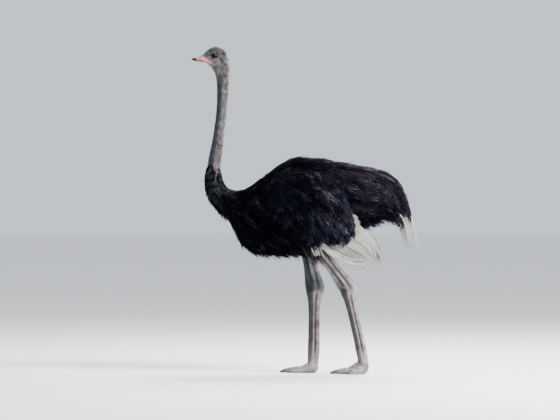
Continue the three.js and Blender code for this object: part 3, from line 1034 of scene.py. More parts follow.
@dataclass(frozen=True)
class Vane:
    """How barbs grow from a shaft.

    reach is how far a barb runs along the feather and droop how far it sinks from the vane's plane, both as
    shares of the length and of the half width. gather turns the barbs' ends along the shaft, tip_share is the
    width left at the tip, loose the random part of each barb and noise that of its tint. The field after
    noise is how much more of the finish's pale colour the barbs take than their shaft: on the white plumes,
    whose pale colour is a dark grey, it is painted shade on the barbs.
    """

    barbs: int
    barb_width: float
    shaft_width: float
    reach: float = 0.4
    droop: float = 0.15
    gather: float = 0.45
    tip_share: float = 0.3
    loose: float = 0.25
    noise: float = 0.07
    barb_pale: float = 0.0
    first: float = 0.05
    last: float = 0.88
    stations: tuple[float, ...] = (0.0, 0.36, 0.72, 1.0)
    stem_steps: int = 4
    end_width: float = 0.75

    def mesh(self, shafts: Shafts, seed: int) -> MeshData:
        """The feathers of many shafts as closed meshes.

        Args:
            shafts: The feathers' shafts.
            seed: Seed of the barbs' disorder.

        Returns:
            One mesh of all the barbs and shafts.
        """
        return gathered([self.barb_strands(shafts, seed).mesh(), self.stem_strands(shafts).mesh()])

    def stem_strands(self, shafts: Shafts) -> Strands:
        """The shafts themselves, a little over their vanes.

        Args:
            shafts: The feathers' shafts.

        Returns:
            One strand for each feather.
        """
        count = len(shafts.paths)
        s = np.linspace(0, 1, self.stem_steps)
        zero = np.zeros((count, 1, self.stem_steps))
        paths, lifts = self._placed(shafts, zero + s, zero, zero + 0.0004)
        widths = self.shaft_width * np.linspace(1, self.end_width, self.stem_steps - 2) * np.ones((count, 1))
        return Strands(paths[:, 0], lifts[:, 0], widths, shafts.places, dict(shafts.values))

    def barb_strands(self, shafts: Shafts, seed: int) -> Strands:
        """Barbs on both sides of each shaft.

        Args:
            shafts: The feathers' shafts.
            seed: Seed of the disorder.

        Returns:
            The barbs, feather by feather.
        """
        draw = np.random.default_rng(seed)
        count = len(shafts.paths)
        shape = (count, self.barbs)
        even = np.linspace(self.first, self.last, self.barbs)
        start = np.clip(even + draw.normal(0, 0.25 / self.barbs, shape), 0.01, 0.97)
        side = np.where(np.arange(self.barbs) % 2, 1.0, -1.0)
        loose = 1 + self.loose * draw.normal(size=shape)
        reach = self.reach * (1 - 0.35 * start) * loose
        swell = self.tip_share + (1 - self.tip_share) * np.sin(math.pi * np.clip(0.22 + 0.74 * start, 0, 1))
        half = shafts.half_widths[:, None] * swell * (1 + self.loose * draw.normal(size=shape))
        drop = -half * self.droop * (1 + 0.6 * draw.normal(size=shape))
        s = np.array(self.stations)
        along = start[..., None] + reach[..., None] * s
        spread = (side * half)[..., None] * ((1 + self.gather) * s - self.gather * s**2)
        paths, lifts = self._placed(shafts, along, spread, drop[..., None] * s**2)
        inner = len(s) - 2
        widths = self.barb_width * np.clip(loose, 0.6, 1.5)[..., None] * np.linspace(1, self.end_width, inner)
        row = (start - 0.5) * PATCH * self.barbs * 0.6
        spots = shafts.places[:, None] + stacked(row, side * PATCH * 1.1)
        total = count * self.barbs
        values = {key: np.repeat(value, self.barbs) for key, value in shafts.values.items()}
        values["shade"] = np.clip(values["shade"] + draw.normal(0, self.noise, total), 0, 1)
        values["pale"] = np.clip(values["pale"] + self.barb_pale, 0, 1)
        steps = len(s)
        return Strands(
            paths.reshape(total, steps, 3),
            lifts.reshape(total, steps, 3),
            widths.reshape(total, inner),
            spots.reshape(total, 2),
            values,
        )

    def _placed(self, shafts: Shafts, along: Array, spread: Array, sink: Array) -> tuple:
        """Points beside the shafts and the direction the vane faces there.

        Args:
            shafts: The feathers' shafts.
            along: Shares of the shaft, as feather by barb by point.
            spread: Distances to the side.
            sink: Heights over the vane.

        Returns:
            The points and the facing directions.
        """
        centre = shafts.at(shafts.paths, along)
        ahead = unit(shafts.at(shafts.paths, along + 0.02) - shafts.at(shafts.paths, along - 0.02))
        face = unit(shafts.at(shafts.faces, along))
        across = unit(np.cross(ahead, face))
        return centre + across * spread[..., None] + face * sink[..., None], face


# --- Finishes ---


class NodeBoard:
    """Adds and joins nodes of one tree in few words."""

    def __init__(self, tree: bpy.types.NodeTree) -> None:
        """Start on a tree."""
        self.tree = tree

    def add(self, kind: str, inputs: dict | None = None, **settings: object) -> bpy.types.Node:
        """Add a node.

        Args:
            kind: The node's type.
            inputs: Values or sockets for its inputs, by name or number.
            settings: Values for its properties.

        Returns:
            The node.
        """
        node = self.tree.nodes.new(kind)
        for key, value in settings.items():
            setattr(node, key, value)
        for key, value in (inputs or {}).items():
            self.put(node.inputs[key], value)
        return node

    def put(self, socket: Socket, value: object) -> None:
        """Join a socket to an input, or set the input's own value.

        Args:
            socket: The input.
            value: A socket to join, or a value.
        """
        if isinstance(value, Socket):
            self.tree.links.new(value, socket)
        elif isinstance(value, tuple) and len(value) == 3 and socket.type == "RGBA":
            socket.default_value = (*value, 1.0)
        else:
            socket.default_value = value

    def math(self, operation: str, *values: object) -> Socket:
        """A sum, product or other step on numbers."""
        return self.add("ShaderNodeMath", dict(enumerate(values)), operation=operation).outputs[0]

    def plus(self, *values: object) -> Socket:
        """The sum of two numbers."""
        return self.math("ADD", *values)

    def times(self, *values: object) -> Socket:
        """The product of two numbers."""
        return self.math("MULTIPLY", *values)

    def place(self) -> Socket:
        """Where a point of the piece lies."""
        return self.add("ShaderNodeTexCoord").outputs["Object"]

    def merged(self, x: object, y: object, z: object) -> Socket:
        """A vector from three numbers."""
        return self.add("ShaderNodeCombineXYZ", {0: x, 1: y, 2: z}).outputs[0]

    def mask(self, name: str) -> Socket:
        """A number stored at the points of the piece."""
        return self.add("ShaderNodeAttribute", attribute_name=name).outputs["Fac"]

    def mix(self, share: object, low: object, high: object, blend: str = "MIX") -> Socket:
        """A colour between two, by a share.

        Args:
            share: The share of the second.
            low: The first colour.
            high: The second colour.
            blend: How they are mixed.

        Returns:
            The mixed colour.
        """
        node = self.add("ShaderNodeMix", data_type="RGBA", blend_type=blend)
        colours = [s for s in node.inputs if s.type == "RGBA"]
        self.put(node.inputs["Factor"], share)
        self.put(colours[0], low)
        self.put(colours[1], high)
        return next(s for s in node.outputs if s.type == "RGBA")

    def spread(self, value: object, low: float, high: float, to_low: float, to_high: float) -> object:
        """A number moved from one range to another, and kept in it.

        Args:
            value: The number.
            low: Start of its range.
            high: End of its range.
            to_low: What low becomes.
            to_high: What high becomes.

        Returns:
            The moved number.
        """
        node = self.add("ShaderNodeMapRange", clamp=True)
        for key, number in zip((0, 1, 2, 3, 4), (value, low, high, to_low, to_high)):
            self.put(node.inputs[key], number)
        return node.outputs[0]


def new_group(name: str, inputs: dict[str, float], outputs: Sequence[str]) -> tuple[NodeBoard, dict, object]:
    """Start a shader node group with number sockets.

    Args:
        name: The group's name.
        inputs: Each input's name and usual value.
        outputs: The outputs' names.

    Returns:
        The board, the inputs' sockets by name, and the output node.
    """
    tree = bpy.data.node_groups.new(name, "ShaderNodeTree")
    for key, value in inputs.items():
        socket = tree.interface.new_socket(key, in_out="INPUT", socket_type="NodeSocketFloat")
        socket.default_value = value
    for key in outputs:
        tree.interface.new_socket(key, in_out="OUTPUT", socket_type="NodeSocketFloat")
    board = NodeBoard(tree)
    source = board.add("NodeGroupInput")
    sink = board.add("NodeGroupOutput")
    return board, {key: source.outputs[key] for key in inputs}, sink


class Effects:
    """The node groups that several finishes share."""

    def __init__(self) -> None:
        """Build the groups."""
        self.mottle = self._mottle()
        self.grain = self._grain()

    def _mottle(self) -> bpy.types.NodeTree:
        """Soft blotches in two sizes, as one mask.

        Returns:
            The group.
        """
        board, given, sink = new_group("mottle", {"Scale": 20.0, "Contrast": 1.0}, ["Mask"])
        place = board.place()
        broad = board.add("ShaderNodeTexNoise", {"Vector": place, "Scale": given["Scale"], "Detail": 3.0})
        fine_scale = board.times(given["Scale"], 4.3)
        fine = board.add("ShaderNodeTexNoise", {"Vector": place, "Scale": fine_scale, "Detail": 2.0})
        coarse = board.times(broad.outputs[0], 0.65)
        total = board.plus(coarse, board.times(fine.outputs[0], 0.35))
        centred = board.times(board.math("SUBTRACT", total, 0.5), given["Contrast"])
        stretched = board.times(centred, 3.0)
        held = board.add("ShaderNodeClamp", {0: board.plus(stretched, 0.5)}).outputs[0]
        board.put(sink.inputs["Mask"], held)
        return board.tree

    def _grain(self) -> bpy.types.NodeTree:
        """The net of fine creases in skin and horn, as a height and a mask of the creases.

        Returns:
            The group.
        """
        board, given, sink = new_group("grain", {"Scale": 300.0, "Stretch": 1.0}, ["Height", "Crease"])
        place = board.place()
        size = board.merged(1.0, 1.0, given["Stretch"])
        turned = board.add("ShaderNodeVectorMath", {0: place, 1: size}, operation="MULTIPLY").outputs[0]
        cells = board.add(
            "ShaderNodeTexVoronoi", {"Vector": turned, "Scale": given["Scale"]}, feature="DISTANCE_TO_EDGE"
        ).outputs["Distance"]
        edge = board.spread(cells, 0.0, 0.16, 0.0, 1.0)
        pores_scale = board.times(given["Scale"], 2.7)
        pores = board.add("ShaderNodeTexNoise", {"Vector": turned, "Scale": pores_scale, "Detail": 3.0})
        board.put(sink.inputs["Height"], board.plus(edge, board.times(pores.outputs[0], 0.6)))
        board.put(sink.inputs["Crease"], board.math("SUBTRACT", 1.0, edge))
        return board.tree


class Finish:
    """A material with a plain shader, for the finishes below to colour."""

    def __init__(self, name: str, effects: Effects) -> None:
        """Start a material.

        Args:
            name: Its name.
            effects: The node groups it may use.
        """
        self.material = bpy.data.materials.new(name)
        self.material.use_nodes = True
        self.board = NodeBoard(self.material.node_tree)
        self.shader = self.material.node_tree.nodes["Principled BSDF"]
        self.effects = effects

    def set(self, **values: float | Colour | Socket) -> None:
        """Set the shader's sockets, their names spelt with _ for a space."""
        for key, value in values.items():
            self.board.put(self.shader.inputs[key.replace("_", " ")], value)

    def mottle(self, scale: float, contrast: float = 1.0) -> Socket:
        """The mask of soft blotches.

        Args:
            scale: Blotches to a metre.
            contrast: How hard the edges of the blotches are.

        Returns:
            The mask.
        """
        node = self.board.add("ShaderNodeGroup", node_tree=self.effects.mottle)
        node.inputs["Scale"].default_value = scale
        node.inputs["Contrast"].default_value = contrast
        return node.outputs["Mask"]

    def grain(self, scale: float, stretch: float = 1.0) -> tuple[Socket, Socket]:
        """The height and the mask of fine creases.

        Args:
            scale: Creases to a metre.
            stretch: How much shorter the cells are upwards.

        Returns:
            The height and the mask.
        """
        node = self.board.add("ShaderNodeGroup", node_tree=self.effects.grain)
        node.inputs["Scale"].default_value = scale
        node.inputs["Stretch"].default_value = stretch
        return node.outputs["Height"], node.outputs["Crease"]

    def relief(self, height: Socket, strength: float, depth: float) -> None:
        """Raise the surface by a height, depth metres at most."""
        node = self.board.add("ShaderNodeBump", {"Height": height, "Strength": strength, "Distance": depth})
        self.set(Normal=node.outputs[0])


@dataclass(frozen=True)
class FeatherFinish:
    """Loose feathers: a main colour, two tints that some feathers have more of, a pale colour brought in
    towards the tips, and painted shade that darkens each strand towards its root.
    """

    name: str
    main: Colour
    warm: Colour
    cool: Colour
    pale: Colour
    roughness: float = 0.72
    sheen: float = 0.0
    patch_scale: float = 17.0
    root_shade: float = 0.25
    swing: float = 0.55
    specular: float = 0.07

    def make(self, effects: Effects) -> Material:
        """Build the material.

        Args:
            effects: The shared node groups.

        Returns:
            The material.
        """
        finish = Finish(self.name, effects)
        board = finish.board
        shade = board.mask("shade")
        patch = finish.mottle(self.patch_scale, 1.4)
        tint = board.mix(patch, self.cool, self.warm)
        share = board.plus(shade, board.times(patch, 0.3))
        colour = board.mix(board.spread(share, 0.25, 1.05, 0.0, 1.0), self.main, tint)
        # The pale colour, stronger towards each tip: on the black coat partly pale tips and partly painted
        # highlight; on the white plumes a dark grey that is painted shade on the barbs.
        worn = board.times(board.mask("pale"), board.spread(board.mask("span"), 0.1, 0.8, 0.35, 1.0))
        colour = board.mix(worn, colour, self.pale)
        # Painted shade: each strand darker towards its root, where the feathers over it shade it.
        light = board.spread(board.mask("span"), 0.0, 0.7, self.root_shade, 1.0)
        light = board.times(light, board.spread(shade, 0.0, 1.0, 1 - self.swing, 1 + self.swing))
        grey = board.add("ShaderNodeCombineColor", {0: light, 1: light, 2: light}).outputs[0]
        finish.set(Base_Color=board.mix(1.0, colour, grey, "MULTIPLY"))
        finish.set(Roughness=board.spread(shade, 0.0, 1.0, self.roughness - 0.1, self.roughness + 0.1))
        finish.set(Specular_IOR_Level=self.specular, Sheen_Weight=self.sheen, Sheen_Roughness=0.4)
        return finish.material


@dataclass(frozen=True)
class SkinFinish:
    """Bare skin and the skin under the coat, marked by the values stored at its points, some of them painted
    shade.
    """

    name: str = "skin"
    down: Colour = (0.21, 0.20, 0.20)
    leg: Colour = (0.43, 0.375, 0.385)
    leg_dark: Colour = (0.12, 0.105, 0.11)
    pink: Colour = (0.56, 0.29, 0.26)
    # Colour of the head's dark marks and of painted shade in creases, grooves and down the fronts of the
    # legs.
    soot: Colour = (0.018, 0.016, 0.020)
    # Bluish grey: the legs' own tint, painted shade on the neck's front and painted shadow on the right leg.
    slate: Colour = (0.034, 0.052, 0.066)
    black: Colour = (0.003, 0.003, 0.005)

    def make(self, effects: Effects) -> Material:
        """Build the material.

        Args:
            effects: The shared node groups.

        Returns:
            The material.
        """
        finish = Finish(self.name, effects)
        board = finish.board
        blotch = finish.mottle(26.0)
        height, crease = finish.grain(230.0)
        leg = board.mix(blotch, self.leg, self.leg_dark)
        colour = board.mix(board.mask("legs"), self.down, leg)
        colour = board.mix(board.mask("slate"), colour, self.slate)
        colour = board.mix(board.times(crease, 0.3), colour, self.leg_dark)
        colour = board.mix(board.mask("black"), colour, self.black)
        colour = board.mix(board.mask("pink"), colour, self.pink)
        # Mostly painted shade: the leg's grooves, the front of its lower half and its ankle darken as the
        # dark marks do.
        dark = board.math("MAXIMUM", board.mask("soot"), board.times(board.mask("groove"), 0.92))
        colour = board.mix(dark, colour, self.soot)
        finish.set(Base_Color=colour, Roughness=board.spread(blotch, 0.0, 1.0, 0.5, 0.68))
        finish.set(Specular_IOR_Level=0.4, Subsurface_Weight=0.08, Subsurface_Radius=(0.012, 0.006, 0.004))
        finish.set(Subsurface_Scale=0.2)
        finish.relief(height, 0.5, 0.0006)
        return finish.material


@dataclass(frozen=True)
class HornFinish:
    """Horn of the bill and claws: one colour at the root and another at the tip."""

    name: str
    root: Colour
    tip: Colour
    stain: Colour
    roughness: float = 0.42

    def make(self, effects: Effects) -> Material:
        """Build the material.

        Args:
            effects: The shared node groups.

        Returns:
            The material.
        """
        finish = Finish(self.name, effects)
        board = finish.board
        blotch = finish.mottle(90.0)
        height, crease = finish.grain(420.0, 0.4)
        uneven = board.plus(board.mask("tip"), board.spread(blotch, 0.0, 1.0, -0.12, 0.12))
        share = board.add("ShaderNodeClamp", {0: uneven}).outputs[0]
        colour = board.mix(board.times(blotch, 0.35), self.root, self.stain)
        colour = board.mix(board.times(crease, 0.25), colour, self.stain)
        colour = board.mix(share, colour, self.tip)
        # Painted shade where the stored darkening is high: in the nostrils, along the bill's edge and over
        # its lower half.
        finish.set(Base_Color=board.mix(board.mask("soot"), colour, (0.02, 0.015, 0.015)))
        finish.set(Roughness=board.spread(blotch, 0.0, 1.0, self.roughness - 0.08, self.roughness + 0.12))
        finish.set(Specular_IOR_Level=0.35, Coat_Weight=0.05, Coat_Roughness=0.3)
        finish.relief(height, 0.35, 0.0004)
        return finish.material


@dataclass(frozen=True)
class EyeFinish:
    """A wet eye: black pupil, dark brown iris and a dark rim."""

    name: str = "eye"
    pupil: Colour = (0.003, 0.003, 0.004)
    iris: Colour = (0.004, 0.002, 0.0014)
    iris_light: Colour = (0.014, 0.006, 0.0035)
    rim: Colour = (0.012, 0.009, 0.008)
    pupil_radius: float = 0.0068
    iris_radius: float = 0.0138
    rays: float = 37.0
    speckle_scale: float = 420.0

    def make(self, effects: Effects) -> Material:
        """Build the material.

        Args:
            effects: The shared node groups.

        Returns:
            The material.
        """
        finish = Finish(self.name, effects)
        board = finish.board
        place = board.place()
        centred = board.add("ShaderNodeMapping", {"Vector": place, "Location": (-EYE.x, 0.0, -EYE.z)})
        parts = board.add("ShaderNodeSeparateXYZ", {0: centred.outputs[0]})
        x, _, z = parts.outputs
        length = board.add("ShaderNodeVectorMath", {0: board.merged(x, 0.0, z)}, operation="LENGTH")
        radius = length.outputs["Value"]
        turn = board.math("ARCTAN2", z, x)
        rays = board.math("SINE", board.times(turn, self.rays))
        streak = board.plus(board.times(rays, 0.3), finish.mottle(self.speckle_scale))
        iris = board.mix(board.spread(streak, 0.2, 1.1, 0.0, 1.0), self.iris, self.iris_light)
        inner = board.spread(radius, self.pupil_radius - 0.0004, self.pupil_radius + 0.0005, 0.0, 1.0)
        outer = board.spread(radius, self.iris_radius - 0.0012, self.iris_radius + 0.0006, 0.0, 1.0)
        finish.set(Base_Color=board.mix(outer, board.mix(inner, self.pupil, iris), self.rim))
        finish.set(Roughness=board.spread(streak, 0.0, 1.5, 0.08, 0.16))
        finish.set(Specular_IOR_Level=0.1, Coat_Weight=0.5, Coat_Roughness=0.02, Coat_IOR=1.36)
        return finish.material


@dataclass(frozen=True)
class PlainFinish:
    """A quiet surface of the studio."""

    name: str
    colour: Colour
    roughness: float

    def make(self, effects: Effects) -> Material:
        """Build the material.

        Args:
            effects: The shared node groups.

        Returns:
            The material.
        """
        finish = Finish(self.name, effects)
        board = finish.board
        tint = board.mix(board.times(finish.mottle(0.6), 0.06), self.colour, (0.80, 0.79, 0.77))
        finish.set(Base_Color=tint, Roughness=self.roughness)
        return finish.material


FEATHERS = (
    # The black coat's pale colour is partly pale feather tips and partly painted highlight on the lit back.
    FeatherFinish("black_feather", (0.0035, 0.0055, 0.016), (0.054, 0.029, 0.037), (0.026, 0.043, 0.084),
                  (0.165, 0.15, 0.195)),
    FeatherFinish("neck_feather", (0.005, 0.008, 0.014), (0.034, 0.034, 0.040), (0.024, 0.042, 0.056),
                  (0.17, 0.19, 0.20)),
    # The white plumes' pale colour is a dark grey that their barbs take: painted shade between the shafts.
    FeatherFinish("white_plume", (0.86, 0.85, 0.81), (0.78, 0.74, 0.66), (0.74, 0.74, 0.72),
                  (0.065, 0.065, 0.060), 0.7, 0.1, 14.0, 0.85, 0.12),
    # The down's pale colour is a dark slate: the face's dark marks, painted shade on the neck's front and
    # dark streaks on the crown.
    FeatherFinish("down", (0.19, 0.185, 0.19), (0.38, 0.34, 0.32), (0.27, 0.27, 0.28),
                  (0.034, 0.040, 0.056), 0.8, 0.1, 22.0, 0.7, 0.4),
    FeatherFinish("bristle", (0.015, 0.014, 0.015), (0.05, 0.045, 0.045), (0.04, 0.04, 0.045),
                  (0.16, 0.15, 0.14), 0.5, 0.0, 40.0, 0.9, 0.2),
)
BILL = HornFinish("bill_horn", (0.60, 0.28, 0.24), (0.016, 0.015, 0.019), (0.45, 0.20, 0.16))
CLAW_HORN = HornFinish("claw_horn", (0.20, 0.16, 0.135), (0.055, 0.045, 0.04), (0.09, 0.07, 0.06), 0.4)


class Wardrobe:
    """Every finish of the bird, made once."""

    def __init__(self) -> None:
        """Make the materials."""
        self.effects = Effects()
        feathers = [finish.make(self.effects) for finish in FEATHERS]
        self.black, self.neck, self.white, self.down, self.bristle = feathers
        others = (SkinFinish(), BILL, CLAW_HORN, EyeFinish())
        self.skin, self.bill, self.claw, self.eye = (finish.make(self.effects) for finish in others)


# --- Markings: where each colour lies, for the skin and the coat alike ---


def from_line(x: Array, z: Array, line: Sequence) -> tuple[Array, Array]:
    """Distance from a line in the side view, and the share of the way along it.

    Args:
        x: Places along the bird.
        z: Heights.
        line: The line's two ends as pairs of x and z.

    Returns:
        The distance, with a sign that is positive above a line that runs to the rear; and the share.
    """
    (x0, z0), (x1, z1) = line
    reach = math.hypot(x1 - x0, z1 - z0)
    ux, uz = (x1 - x0) / reach, (z1 - z0) / reach
    along = (x - x0) * ux + (z - z0) * uz
    return (z - z0) * ux - (x - x0) * uz, along / reach


class Markings:
    """The pattern of the head, neck and trunk, from station numbers, angles and places."""

    BEAK_TOP = ((-0.690, 2.0985), (-0.604, 2.0470))
    BEAK_UNDER = ((-0.690, 2.0485), (-0.604, 2.0405))
    LORE = ((-0.652, 2.0905), (-0.617, 2.0975))
    # The cheek line is where a painted shadow runs under the cheek.
    CHEEK_LINE = ((-0.604, 2.0460), (-0.572, 2.0530))
    BLACK_EDGE = 14.68  # station of the upper edge of the black feathers
    STRIP_DROP = 1.2  # how much lower it runs along the strips

    def __init__(self) -> None:
        """Draw the uneven edges."""
        self.edge = Ripple(5, 0.045)
        self.fleck = Ripple(6, 0.034)

    def black(self, at: Array, angle: Array, place: Array) -> Array:
        """Where black feathers grow: they start lower along a strip on each side of the neck.

        Args:
            at: Station numbers.
            angle: Angles round the ring, in radians.
            place: Their places, in metres.

        Returns:
            1 where they grow and 0 elsewhere.
        """
        strip = bump(np.sin(angle), 0.42, 0.24)
        edge = self.BLACK_EDGE + self.STRIP_DROP * strip + (0.22 + 0.35 * strip) * self.edge.at(place)
        return smooth(at - edge, -0.1, 0.1)

    def flecks(self, at: Array, angle: Array, place: Array) -> Array:
        """Where pale feathers break the black of the neck, mostly down its sides."""
        strip = 0.55 + 0.45 * bump(np.sin(angle), 0.34, 0.24)
        return strip * smooth(at, 18.4, 16.6) * smooth(self.fleck.at(place), -0.25, 0.5)

    def slate(self, at: Array, angle: Array) -> Array:
        """The front of the neck darker and bluish: painted shade on the side turned from the light."""
        return smooth(-np.sin(angle), -0.35, 0.4) * smooth(at, 6.0, 9.0)

    def collar(self, at: Array, angle: Array, place: Array) -> Array:
        """The thin, pinkish place where down gives way to feathers."""
        band = 0.5 * bump(at, 14.45, 0.36) * smooth(np.sin(angle), -0.5, 0.3)
        return np.clip(band * (0.7 + 0.5 * self.fleck.at(place)), 0, 1)

    def beak(self, place: Array) -> Array:
        """The pink wedge of bare skin from the bill to the corner of the mouth.

        Args:
            place: Their places, in metres.

        Returns:
            1 inside the wedge.
        """
        over, _ = from_line(place[..., 0], place[..., 2], self.BEAK_TOP)
        under, _ = from_line(place[..., 0], place[..., 2], self.BEAK_UNDER)
        behind = smooth(place[..., 0], -0.596, -0.606)
        return smooth(over, 0.0015, -0.0015) * smooth(under, -0.0015, 0.0015) * behind

    def soot(self, place: Array) -> Array:
        """Dark marks before the eye and round the lids; and painted shade in the crease of the gape, in a
        line under the cheek behind the mouth, and in the ear opening.

        Args:
            place: Their places, in metres.

        Returns:
            How dark each place is, from 0 to 1.
        """
        x, z = place[..., 0], place[..., 2]
        side = smooth(np.abs(place[..., 1]), 0.008, 0.02)
        lore = self._mark(x, z, self.LORE, 0.0055)
        # Painted shade: the line under the cheek, the ear opening and the gape below are darkened where shade
        # falls.
        cheek = self._mark(x, z, self.CHEEK_LINE, 0.0032) * 0.85
        ear = bump(np.hypot(x - EAR[0], z - EAR[1]), 0, 0.0055)
        rho, _ = EYE.opening(x, z)
        lids = 0.9 * smooth(rho, 1.5, 1.12)
        over, along = from_line(x, z, GAPE)
        gape = 0.7 * bump(over, 0, 0.0014) * smooth(along, 1.06, 0.96) * smooth(along, -0.2, 0.0)
        return side * np.clip(lore * 0.85 + cheek + ear + lids + gape, 0, 1) * smooth(x, -0.40, -0.45)

    def _mark(self, x: Array, z: Array, line: Sequence, width: float) -> Array:
        """A soft stroke along a line."""
        over, along = from_line(x, z, line)
        return bump(over, 0, width) * smooth(along, -0.25, 0.1) * smooth(along, 1.3, 0.9)


# --- The skin ---


@dataclass
class LegSurface:
    """The relief of a leg's bare skin: hollows between the sinews, and scutes in front."""

    shape: LegShape
    scute_pitch: float = 0.0165
    toe_pitch: float = 0.0105
    scute_height: float = 0.0021
    hollow: float = 0.0085
    fold_pitch: float = 0.0085
    fold_height: float = 0.0008
    calf: float = 0.004
    inset: float = 0.0006

    def __post_init__(self) -> None:
        """Measure the plain leg."""
        plain = self.shape.limb()
        self.arc = plain.arc_length
        self.loft = self.shape.limb(self.relief)

    def hollows(self, at: Array, angle: Array) -> Array:
        """1 in the bottom of the grooves along the leg's sides.

        Args:
            at: Station numbers.
            angle: Angles round the ring, in radians.

        Returns:
            From 0 outside the grooves to 1.
        """
        turn = tilt_of(angle)
        shank = smooth(at, 1.0, 2.6) * smooth(at, 8.6, 7.6)
        front = bump(turn, 26 - 2.5 * (at - 4.0), 12) * shank
        rear = bump(turn, -34 + 3.0 * (at - 4.0), 11) * shank
        tarsus = bump(turn, -14, 10) * smooth(at, 9.4, 10.6) * smooth(at, 15.0, 13.8)
        heel = 0.8 * bump(turn, -22, 14) * bump(at, 8.7, 0.7)
        return np.clip(front + rear + tarsus + heel, 0, 1)

    def scutes(self, at: Array, angle: Array) -> tuple[Array, Array]:
        """The height of the plates down the front, and the seams between them.

        Args:
            at: Station numbers.
            angle: Angles round the ring, in radians.

        Returns:
            The height and the mask of the seams, both from 0 to 1.
        """
        turn = tilt_of(angle)
        arc = self.arc(at)
        long = arc / self.scute_pitch
        short = arc / self.toe_pitch
        ahead = smooth(turn, 34, 52)
        shin = smooth(at, 9.3, 10.0) * smooth(at, 16.4, 15.6) * ahead
        toe = smooth(at, 15.8, 16.4) * smooth(turn, 18, 34)
        plates = [shin * self._plate(long), toe * self._plate(short)]
        seams = [shin * self._seam(long), toe * self._seam(short)]
        return plates[0] + 0.8 * plates[1], np.clip(seams[0] + seams[1], 0, 1)

    def _plate(self, turns: Array) -> Array:
        """The cross-section of a row of overlapping plates."""
        share = turns - np.floor(turns)
        return smooth(share, 0.0, 0.16) * (0.55 + 0.45 * share)

    def _seam(self, turns: Array) -> Array:
        """1 in the seams between plates."""
        share = turns - np.floor(turns)
        return bump(share, 0.0, 0.10) + bump(share, 1.0, 0.10)

    def relief(self, at: Array, angle: Array) -> Array:
        """Height of the leg's surface over its plain form, in metres.

        Args:
            at: Station numbers.
            angle: Angles round the ring, in radians.

        Returns:
            The height.
        """
        plates, _ = self.scutes(at, angle)
        folds = bump(at, 8.95, 0.62) * np.sin(self.arc(at) * 2 * math.pi / self.fold_pitch)
        calf = self.calf * bump(np.sin(angle), -0.7, 0.5) * bump(at, 2.6, 1.5)
        edge = smooth(at, 0.4, 1.4)
        height = self.scute_height * (plates - 0.8) - self.hollow * self.hollows(at, angle) * edge
        return height + self.fold_height * folds + calf - self.inset

    def groove(self, at: Array, angle: Array) -> Array:
        """How dark the surface is: painted shade in the grooves, down the front of the lower leg and over the
        front of the ankle; dark seams between the plates; faint dark streaks down the shin.

        Args:
            at: Station numbers.
            angle: Angles round the ring, in radians.

        Returns:
            From 0 for clear skin to 1.
        """
        _, seams = self.scutes(at, angle)
        turn = tilt_of(angle)
        # Painted shade down the front of the lower leg and, as the knuckle below, over the front of the
        # ankle.
        front = smooth(turn, 2, 24) * smooth(at, 8.2, 9.2) * smooth(at, 16.2, 13.0)
        shin = smooth(at, 8.8, 10.2) * smooth(at, 15.8, 13.8)
        streaks = smooth(np.sin(turn * 0.4 + 0.7 * at), 0.1, 0.9) * shin
        knuckle = bump(turn, 42, 30) * bump(at, 8.3, 0.9)
        dark = self.hollows(at, angle) + 0.8 * seams + 0.9 * front + 0.9 * knuckle + 0.25 * streaks
        return np.clip(dark, 0, 1)

    def slate(self, at: Array, angle: Array) -> Array:
        """The bluish grey of the upper leg towards the front: the left leg's own tint; on the right leg,
        which stands in the body's shadow, stronger and spread over the joint and the upper shank as painted
        shadow.

        Args:
            at: Station numbers.
            angle: Angles round the ring, in radians.

        Returns:
            The share of the bluish grey.
        """
        front = smooth(tilt_of(angle), 6, 30) * smooth(at, 10.4, 8.4)
        if self.shape.side is Side.LEFT:
            return 0.35 * front
        # Painted shadow of the body over the right leg.
        joint = smooth(at, 6.4, 7.8) * smooth(at, 10.4, 9.0)
        return np.clip(0.95 * front + 0.85 * joint + 0.3 * smooth(at, 8.0, 6.0), 0, 1)


SKIN_PAIRS = ("wing", "shank", "tarsus", "toe_middle", "toe_outer")


